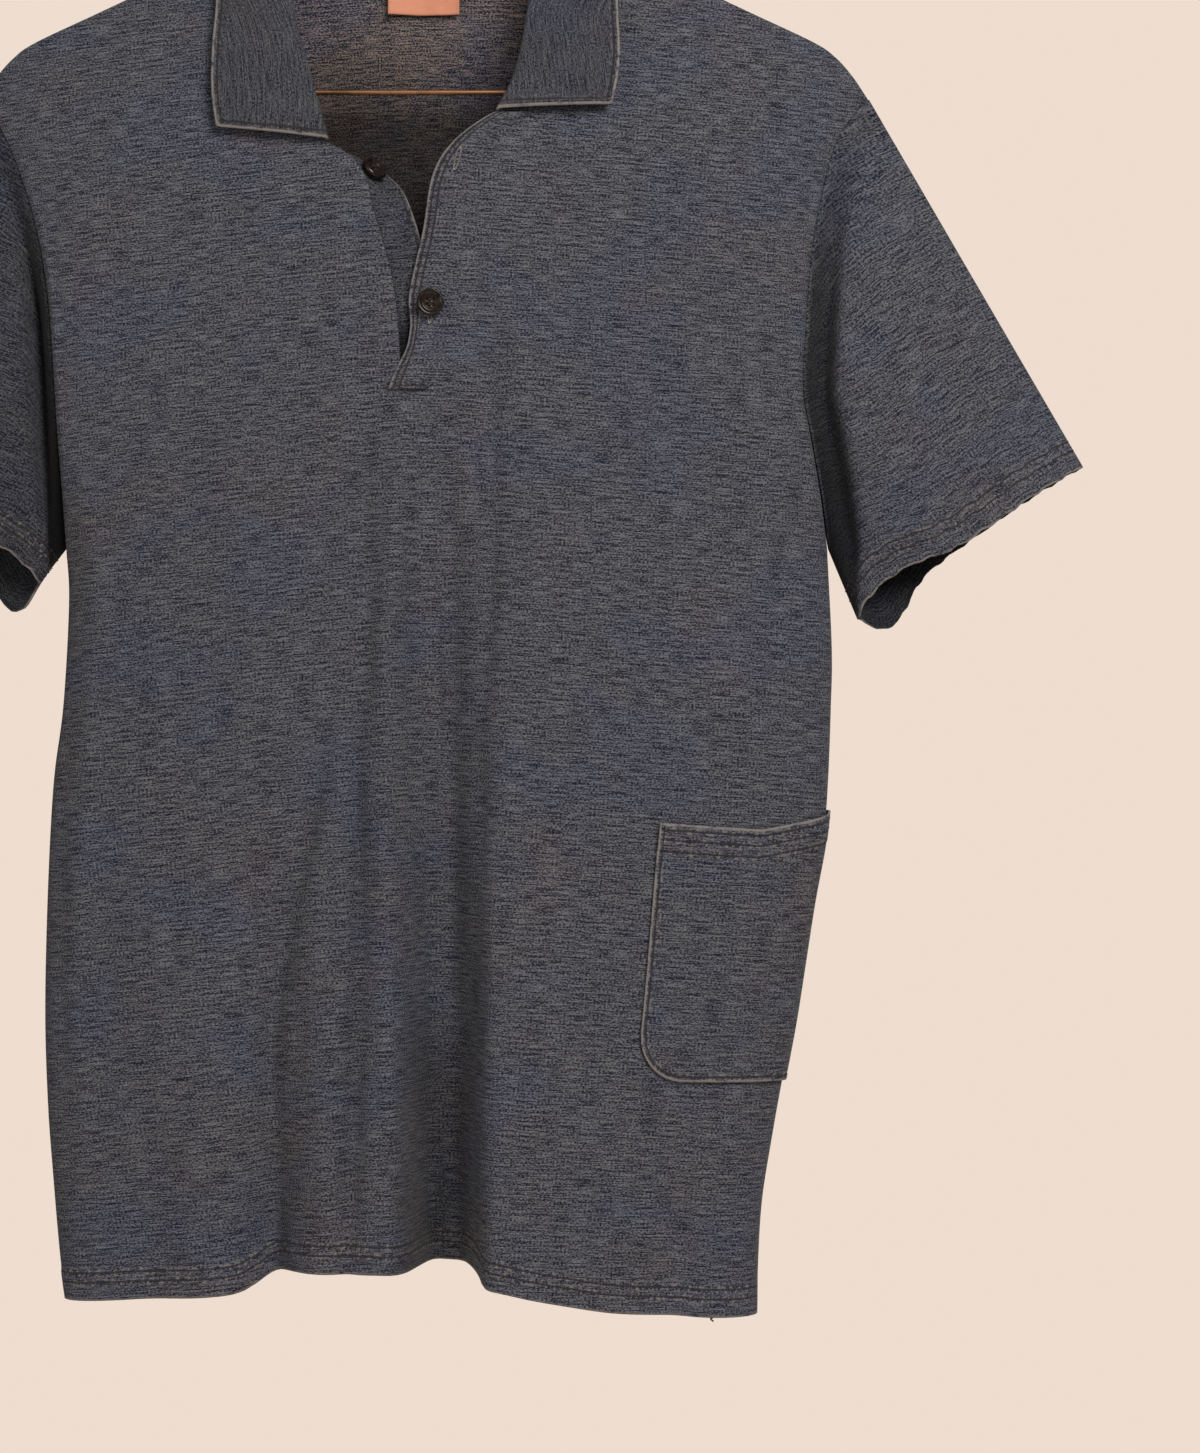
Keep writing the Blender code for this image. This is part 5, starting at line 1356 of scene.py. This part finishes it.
def label_material(colours):
    """Bare woven label: fine crossing threads, with its cut sides a little darker."""
    made, tree, shader = new_material("label_weave", 0.65, sheen=0.1)
    uv = add(tree, "ShaderNodeUVMap", uv_map="cloth").outputs[0]
    parts = add(tree, "ShaderNodeSeparateXYZ", {0: uv})
    warp = maths(tree, "SINE", maths(tree, "MULTIPLY", parts.outputs[0], 2 * pi / 0.0007))
    weft = maths(tree, "SINE", maths(tree, "MULTIPLY", parts.outputs[1], 2 * pi / 0.0006))
    weave = maths(tree, "MULTIPLY", maths(tree, "MULTIPLY", warp, weft), 0.5)
    patchy = stretched_noise(tree, uv, (120.0, 300.0), 1.1, 2.0)
    tone = maths(tree, "ADD", maths(tree, "MULTIPLY", weave, 0.3), patchy)
    colour = mix(tree, tone, rgba([c * 0.78 for c in colours.label]), rgba(colours.label))
    rim = maths(tree, "SUBTRACT", 1.0, ramp(tree, attribute(tree, "edge"), 0.0004, 0.0016))
    colour = mix(tree, maths(tree, "MULTIPLY", rim, 0.35), colour,
                 rgba([c * 0.55 for c in colours.label]))
    tree.links.new(colour, shader.inputs["Base Color"])
    bump = add(tree, "ShaderNodeBump", {"Height": weave, "Strength": 0.35, "Distance": 0.0002})
    tree.links.new(bump.outputs[0], shader.inputs["Normal"])
    return made


def wire_material(colours):
    """Coppered steel wire: drawn lines along it and dull brown patches."""
    made, tree, shader = new_material("wire_copper", 0.3, metallic=1.0)
    place_of = add(tree, "ShaderNodeTexCoord").outputs["Object"]
    patchy = add(tree, "ShaderNodeTexNoise", {"Vector": place_of, "Scale": 60.0, "Detail": 4.0})
    dull = ramp(tree, patchy.outputs["Fac"], 0.45, 0.72)
    tree.links.new(mix(tree, dull, rgba(colours.wire), rgba([c * 0.55 for c in colours.wire])),
                   shader.inputs["Base Color"])
    uv = add(tree, "ShaderNodeUVMap", uv_map="cloth").outputs[0]
    lines = add(tree, "ShaderNodeMapping", {"Vector": uv, "Scale": (40.0, 9.0, 1.0)}).outputs[0]
    drawn = add(tree, "ShaderNodeTexNoise", {"Vector": lines, "Scale": 1.0, "Detail": 2.0})
    rough = add(tree, "ShaderNodeMapRange", {"Value": drawn.outputs["Fac"], "To Min": 0.25,
                                             "To Max": 0.55})
    tree.links.new(rough.outputs[0], shader.inputs["Roughness"])
    return made


# ---------------------------------------------------------------- operators
def settings():
    """The sizes and the colours that the scene holds."""
    scene = bpy.context.scene
    return scene.shirt_sizes, scene.shirt_colours


class SHIRT_OT_panels(bpy.types.Operator):
    """Build the front and back panels of the body"""
    bl_idname = "shirt.panels"
    bl_label = "Body panels"

    def execute(self, context):
        sizes, colours = settings()
        grids = body_grids()
        rows = (sizes.hem_low, sizes.hem_high)
        outer = knit_material("knit_body", colours, rows=rows, hem_width=0.0011, rub=0.55, pucker=0.75)
        # The inside takes a painted shade below the neck.
        inner = knit_material("knit_inside", colours, slub=1.05, blotch=1.0, inside=True, painted_shade_to=0.27)
        runs = []
        for panel, y, flat, area in (("front", -1, (0.47, 0.735), 0.335), ("back", 1, (0.47, 0.735), 0.34)):
            patches = panel_patches(grids, panel)
            for patch in patches:
                grid = patch["points"]
                normals = grid_normals(grid, (0, y, 0))
                fold = np.clip(patch["edge"] / 6, 0, 1)
                welt = 0.35 * hem_welt(patch["hem"]) + 0.12 * np.sin(patch["uv"][..., 0] * 1.3) * (
                    patch["hem"] < 15)
                patch["points"] = grid + normals * (welt * fold)[..., None]
                for row in rows:
                    points, outs = line_inside(patch["points"], normals, row / MM)
                    runs.append((points[3:], outs[3:]))
            mesh = cloth_mesh(panel + "_panel", patches, same_way(0, y, 0))
            thing = place(panel + "_panel", mesh, [outer, inner], [panel], sizes.wall)
        threads = thread_material("thread_dark", colours.thread)
        place("hem_stitches", stitches(runs, sizes), [threads])
        loose = tube(smooth_curve(LOOSE_THREAD), LOOSE_RADIUS, 6, "loose_thread")
        place("loose_thread", loose, [threads])
        return {"FINISHED"}


class SHIRT_OT_sleeves(bpy.types.Operator):
    """Build both sleeves and their cuff stitches"""
    bl_idname = "shirt.sleeves"
    bl_label = "Sleeves"

    def execute(self, context):
        sizes, colours = settings()
        grids = body_grids()
        rows = [row * MM for row in CUFF_ROWS]
        # The left sleeve's knit is a darker copy of the right's, a painted shade, and folds sets how dark
        # each trough's painted shade goes.
        outers = {"left": knit_material("knit_sleeve_left", colours, rows=rows, hem_width=0.0011,
                                        rub=0.75, shade=0.62, pucker=0.6, folds=0.97),
                  "right": knit_material("knit_sleeve_right", colours, rows=rows, hem_width=0.0011,
                                         rub=0.8, pucker=0.6, folds=0.87)}
        # The sleeve's inside is a much darker copy of the knit, a painted shade inside the tube.
        inner = knit_material("knit_sleeve_inside", colours, slub=1.1, shade=0.3)
        runs = []
        for hand, cuff_front, cuff_back in (("left", CUFF_LEFT_FRONT, CUFF_LEFT_BACK),
                                            ("right", CUFF_RIGHT_FRONT, CUFF_RIGHT_BACK)):
            patch = sleeve_patch(grids, hand, cuff_front, cuff_back)
            grid = patch["points"]
            normals = unit(np.cross(np.gradient(grid, axis=0), np.gradient(grid, axis=1)))
            normals *= np.sign((normals[..., 1] * np.sign(grid[..., 1])).mean())
            for row in rows:
                runs.append(line_inside(grid, normals, row / MM))
            name = "sleeve_" + hand

            def away(points):
                """Outwards: away from the sleeve's middle plane."""
                return points * (0, 1, 0)

            mesh = cloth_mesh(name + "_cloth", [patch], away)
            join_patches(mesh)
            thing = place(name + "_cloth", mesh, [outers[hand], inner], [name],
                          sizes.wall)
        threads = bpy.data.materials["thread_dark"]
        place("cuff_stitches", stitches(runs, sizes), [threads])
        return {"FINISHED"}


class SHIRT_OT_collar(bpy.types.Operator):
    """Build the turned-down collar"""
    bl_idname = "shirt.collar"
    bl_label = "Collar"

    def execute(self, context):
        sizes, colours = settings()
        patch = collar_patch(body_grids())
        outer = knit_material("knit_collar", colours, slub=0.7,
                              edge_rows=(COLLAR_STITCH * MM,), edge_width=0.0013,
                              rub=1.0, shade=0.75, pucker=0.3)
        inner = knit_material("knit_collar_inside", colours, slub=0.8, shade=0.7)

        def away(points):
            """Outwards: away from the neck's middle, and up a little."""
            return np.stack([points[:, 0], points[:, 1] * 3, 0.05 + 0 * points[:, 2]], axis=1)

        mesh = cloth_mesh("collar_cloth", [patch], away)
        thing = place("collar_cloth", mesh, [outer, inner], ["collar"], sizes.wall)
        grid = patch["points"]
        leaf = grid[:, COLLAR_LEAF:]
        normals = unit(np.cross(np.gradient(leaf, axis=0), np.gradient(leaf, axis=1)))
        normals *= np.sign((normals * away(leaf.reshape(-1, 3)).reshape(leaf.shape)).sum(axis=2).mean())
        flipped = leaf.transpose(1, 0, 2)
        points, outs = line_inside(flipped, normals.transpose(1, 0, 2), COLLAR_STITCH)
        ends = [(leaf[n, :-5], normals[n, :-5]) for n in (1, -2)]
        place("collar_stitches", stitches([(points[1:-1], outs[1:-1]), *ends], sizes),
              [bpy.data.materials["thread_dark"]])
        return {"FINISHED"}


class SHIRT_OT_placket(bpy.types.Operator):
    """Build both placket strips, their rows of stitches and the buttonholes"""
    bl_idname = "shirt.placket"
    bl_label = "Placket"

    def execute(self, context):
        sizes, colours = settings()
        grids = body_grids()
        threads = bpy.data.materials["thread_dark"]
        outer = knit_material("knit_placket", colours, rows=(FOOT_ROW * MM,),
                              edge_rows=[at * MM for at, _ in STRIP_GROOVES],
                              edge_width=0.0011, rub=0.8, pucker=0.3)
        # The under strip's knit is a darker copy, a painted shade where it lies behind; folds sets the
        # painted shade at its foot.
        under = knit_material("knit_placket_under", colours,
                              edge_rows=(POCKET_STITCH * MM,), edge_width=0.001,
                              hem_width=0.0022, rub=0.75, shade=0.7, pucker=0.3, folds=0.85)
        inner = knit_material("knit_placket_inside", colours, inside=True, shade=0.8)
        runs = []
        top_patch = placket_top_patch(grids)
        for name, patch, surface in (("placket_top", top_patch, outer),
                                     ("placket_under", placket_under_patch(grids), under)):
            mesh = cloth_mesh(name + "_strip", [patch], same_way(0, -1, 0))
            thing = place(name + "_strip", mesh, [surface, inner], [name],
                          sizes.trim_wall)
            grid = patch["points"]
            normals = grid_normals(grid, (0, -1, 0))
            if name == "placket_top":
                for distance, _ in STRIP_GROOVES:
                    column = np.interp(distance, patch["edge"][0], np.arange(grid.shape[1]))
                    at = np.arange(6.0, len(grid))
                    runs.append((sample(grid, at, column + 0 * at), sample(normals, at, column + 0 * at)))
                runs.append((grid[-3, ::-1], normals[-3, ::-1]))
            else:
                at = np.arange(14.0, len(grid))
                border = sample(grid, at, 1.2 + 0 * at)
                runs.append((border, sample(normals, at, 1.2 + 0 * at)))
        place("placket_stitches", stitches(runs, sizes), [threads])
        light = thread_material("thread_worn", colours.worn)
        place("buttonholes", buttonhole_mesh(top_patch["points"], sizes), [light])
        return {"FINISHED"}


def buttonhole_mesh(strip, sizes):
    """Upright buttonholes: short stitches square to a slim oval, close together."""
    runs = []
    normals = grid_normals(strip, (0, -1, 0))
    for x, z, half, lean in BUTTONHOLES:
        turn = np.linspace(0, 2 * pi, 61)[:-1]
        for t in turn:
            away = np.array((np.cos(t), np.sin(t)))
            start = np.array((x, z)) + away * (0.5, half - 0.6)
            end = np.array((x, z)) + away * (1.7, half + 0.5)
            pair = np.stack([start, end])
            pair[:, 0] += lean * (pair[:, 1] - z)
            depth = np.array([surface_depth(strip, px, pz) for px, pz in pair])
            points = np.stack([pair[:, 0], depth, pair[:, 1]], axis=1)
            runs.append((points, np.tile(normals.mean((0, 1)), (2, 1))))
    return stitches(runs, sizes, lift=0.0)


def surface_depth(grid, x, z):
    """y of the grid's point nearest to (x, z)."""
    away = np.hypot(grid[..., 0] - x, grid[..., 2] - z)
    return grid.reshape(-1, 3)[away.argmin(), 1]


class SHIRT_OT_pocket(bpy.types.Operator):
    """Build the patch pocket that wraps the side seam"""
    bl_idname = "shirt.pocket"
    bl_label = "Pocket"

    def execute(self, context):
        sizes, colours = settings()
        patch = pocket_patch(body_grids())
        rows = [row * MM for row in POCKET_ROWS]
        outer = knit_material("knit_pocket", colours, rows=rows,
                              edge_rows=(POCKET_STITCH * MM,), edge_width=0.0012,
                              hem_width=0.0013, rub=0.9, shade=0.98, pucker=0.7)
        inner = knit_material("knit_pocket_inside", colours, inside=True, shade=0.8)

        def away(points):
            """Outwards: away from a line inside the side seam."""
            return np.stack([points[:, 0] - 0.15, points[:, 1] * 3, 0 * points[:, 2]], axis=1)

        mesh = cloth_mesh("pocket_patch", [patch], away)
        thing = place("pocket_patch", mesh, [outer, inner], ["pocket"],
                      sizes.trim_wall)
        grid = patch["points"]
        normals = unit(np.cross(np.gradient(grid, axis=0), np.gradient(grid, axis=1)))
        outward = np.stack([grid[..., 0] - 150, grid[..., 1] * 3, 0 * grid[..., 0]], axis=2)
        normals *= np.sign((normals * outward).sum(axis=2).mean())
        runs = [line_inside(grid[::-1], normals[::-1], row) for row in POCKET_ROWS]
        runs = [(points[1:-1], outs[1:-1]) for points, outs in runs]
        at = np.arange(18.0, len(grid) - 8)
        side = sample(grid, at, 2.6 + 0 * at)
        runs.append((side, np.tile((0.0, -1.0, 0.0), (len(side), 1))))
        points, outs = line_inside(grid, normals, POCKET_STITCH)
        runs.append((points[4:-1], outs[4:-1]))
        place("pocket_stitches", stitches(runs, sizes), [bpy.data.materials["thread_dark"]])
        return {"FINISHED"}


class SHIRT_OT_buttons(bpy.types.Operator):
    """Build both buttons and their thread"""
    bl_idname = "shirt.buttons"
    bl_label = "Buttons"

    def execute(self, context):
        colours = settings()[1]
        grids = body_grids()
        surface = button_material(colours)
        under = placket_under_patch(grids)["points"]
        x, z = BUTTON_LOWER
        y = -middle_depth(z, False) - 2 * LAID - TRIM - BUTTON / 2 * BUTTON_TILT
        row = BUTTON_UPPER_ROW * (len(under) - 1)
        column = np.array([BUTTON_UPPER_COLUMN])
        seat = sample(under, np.array([row]), column)[0]
        out = sample(grid_normals(under, (0, -1, 0)), np.array([row]), column)[0]
        seat = seat + unit(out) * BUTTON_STANDOFF
        paths = []
        for name, centre, normal in (("button_lower", (x, y, z), (BUTTON_TILT, -1, 0)),
                                     ("button_upper", seat, out)):
            patch, frame_of = button_patch(centre, normal)
            place(name + "_turned", button_mesh(name, patch), [surface], [name])
            paths += button_threads(centre, frame_of)
        merged = []
        for n, path in enumerate(paths):
            merged.append(tube(path, 0.16, 6, "button_thread_%d" % n))
        place("button_threads", join_meshes("button_threads", merged),
              [thread_material("thread_button", (0.05, 0.035, 0.03))])
        return {"FINISHED"}


def join_meshes(name, meshes):
    """One mesh of several."""
    bm = bmesh.new()
    for mesh in meshes:
        bm.from_mesh(mesh)
        bpy.data.meshes.remove(mesh)
    joined = bpy.data.meshes.new(name)
    bm.to_mesh(joined)
    bm.free()
    joined.shade_smooth()
    return joined


class SHIRT_OT_label(bpy.types.Operator):
    """Build the bare neck label"""
    bl_idname = "shirt.label"
    bl_label = "Label"

    def execute(self, context):
        colours = settings()[1]
        patch = label_patch()
        mesh = cloth_mesh("label_tab", [patch], same_way(0, -1, 0))
        thing = place("label_tab", mesh, [label_material(colours)], ["label"], 0.0006)
        return {"FINISHED"}


class SHIRT_OT_hanger(bpy.types.Operator):
    """Build the bent wire hanger"""
    bl_idname = "shirt.hanger"
    bl_label = "Hanger"

    def execute(self, context):
        colours = settings()[1]
        mesh = tube(hanger_route(), WIRE / 2, 18, "hanger_wire")
        place("hanger_wire", mesh, [wire_material(colours)], ["hanger"])
        return {"FINISHED"}


class SHIRT_OT_stage(bpy.types.Operator):
    """Set up the pale floor, the soft lights and the camera"""
    bl_idname = "shirt.stage"
    bl_label = "Stage"

    def execute(self, context):
        colours = settings()[1]
        scene = context.scene
        turn = np.linspace(0, 2 * pi, 97)[:-1]
        ring = np.stack([FLOOR_RADIUS * np.cos(turn), FLOOR_RADIUS * np.sin(turn),
                         FLOOR_HEIGHT + 0 * turn], axis=1)
        mesh = bpy.data.meshes.new("floor")
        mesh.from_pydata(ring, [], [list(range(len(ring)))])
        floor = bpy.data.objects.new("floor", mesh)
        scene.collection.objects.link(floor)
        surface, tree, shader = new_material("pale_floor", 0.9)
        shader.inputs["Base Color"].default_value = rgba(colours.wall)
        mesh.materials.append(surface)
        world = scene.world or bpy.data.worlds.new("surroundings")
        scene.world = world
        world.use_nodes = True
        tree = world.node_tree
        tree.nodes.clear()
        seen = add(tree, "ShaderNodeBackground", {"Color": rgba(colours.wall), "Strength": 1.0})
        glow = add(tree, "ShaderNodeBackground", {"Color": (1.0, 0.95, 0.9, 1), "Strength": 0.15})
        ray = add(tree, "ShaderNodeLightPath")
        both = add(tree, "ShaderNodeMixShader", {0: ray.outputs["Is Camera Ray"], 1: glow.outputs[0],
                                                 2: seen.outputs[0]})
        out = tree.nodes.new("ShaderNodeOutputWorld")
        tree.links.new(both.outputs[0], out.inputs["Surface"])
        for name, place_of, aim, size, power in SOFTBOXES:
            light = bpy.data.lights.new(name, "AREA")
            light.shape = "DISK"
            light.size = size
            light.energy = power
            light.color = SOFTBOX_TINT
            lamp = bpy.data.objects.new(name, light)
            scene.collection.objects.link(lamp)
            lamp.location = place_of
            lamp.rotation_euler = look_along(place_of, aim)
            lamp.visible_camera = False
        camera = bpy.data.cameras.new("camera")
        camera.sensor_fit = "VERTICAL"
        camera.sensor_height = SENSOR
        camera.lens = SENSOR * -CAMERA_PLACE[1] / (IMAGE_HEIGHT * MM_PER_PIXEL * MM)
        eye = bpy.data.objects.new("camera", camera)
        scene.collection.objects.link(eye)
        eye.location = CAMERA_PLACE
        eye.rotation_euler = (radians(90), 0.0, 0.0)
        scene.camera = eye
        scene.view_settings.view_transform = "Standard"
        return {"FINISHED"}


def look_along(place_of, aim):
    """Euler angles that turn a lamp's -Z from its place to the aim."""
    dx, dy, dz = (a - p for a, p in zip(aim, place_of))
    return (np.arctan2(np.hypot(dx, dy), -dz), 0.0, np.arctan2(dx, -dy) + pi)


OPERATORS = (SHIRT_OT_hanger, SHIRT_OT_panels, SHIRT_OT_sleeves, SHIRT_OT_collar, SHIRT_OT_placket,
             SHIRT_OT_pocket, SHIRT_OT_buttons, SHIRT_OT_label, SHIRT_OT_stage)


class SHIRT_PT_pieces(bpy.types.Panel):
    """Lists the pieces and their settings"""
    bl_label = "Polo shirt"
    bl_space_type = "VIEW_3D"
    bl_region_type = "UI"
    bl_category = "Shirt"

    def draw(self, context):
        for operator in OPERATORS:
            self.layout.operator(operator.bl_idname)
        for group in (context.scene.shirt_sizes, context.scene.shirt_colours):
            for key in group.__annotations__:
                self.layout.prop(group, key)


CLASSES = (ShirtSizes, ShirtColours, *OPERATORS, SHIRT_PT_pieces)


def register():
    """Registers the classes and hangs the settings on the scene."""
    for cls in CLASSES:
        bpy.utils.register_class(cls)
    bpy.types.Scene.shirt_sizes = PointerProperty(type=ShirtSizes)
    bpy.types.Scene.shirt_colours = PointerProperty(type=ShirtColours)


def unregister():
    """Takes the settings and the classes off again."""
    del bpy.types.Scene.shirt_colours
    del bpy.types.Scene.shirt_sizes
    for cls in reversed(CLASSES):
        bpy.utils.unregister_class(cls)


def main():
    """Builds every piece in order."""
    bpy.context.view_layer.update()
    register()
    for operator in OPERATORS:
        group, name = operator.bl_idname.split(".")
        getattr(getattr(bpy.ops, group), name)()


if __name__ == "__main__":
    main()
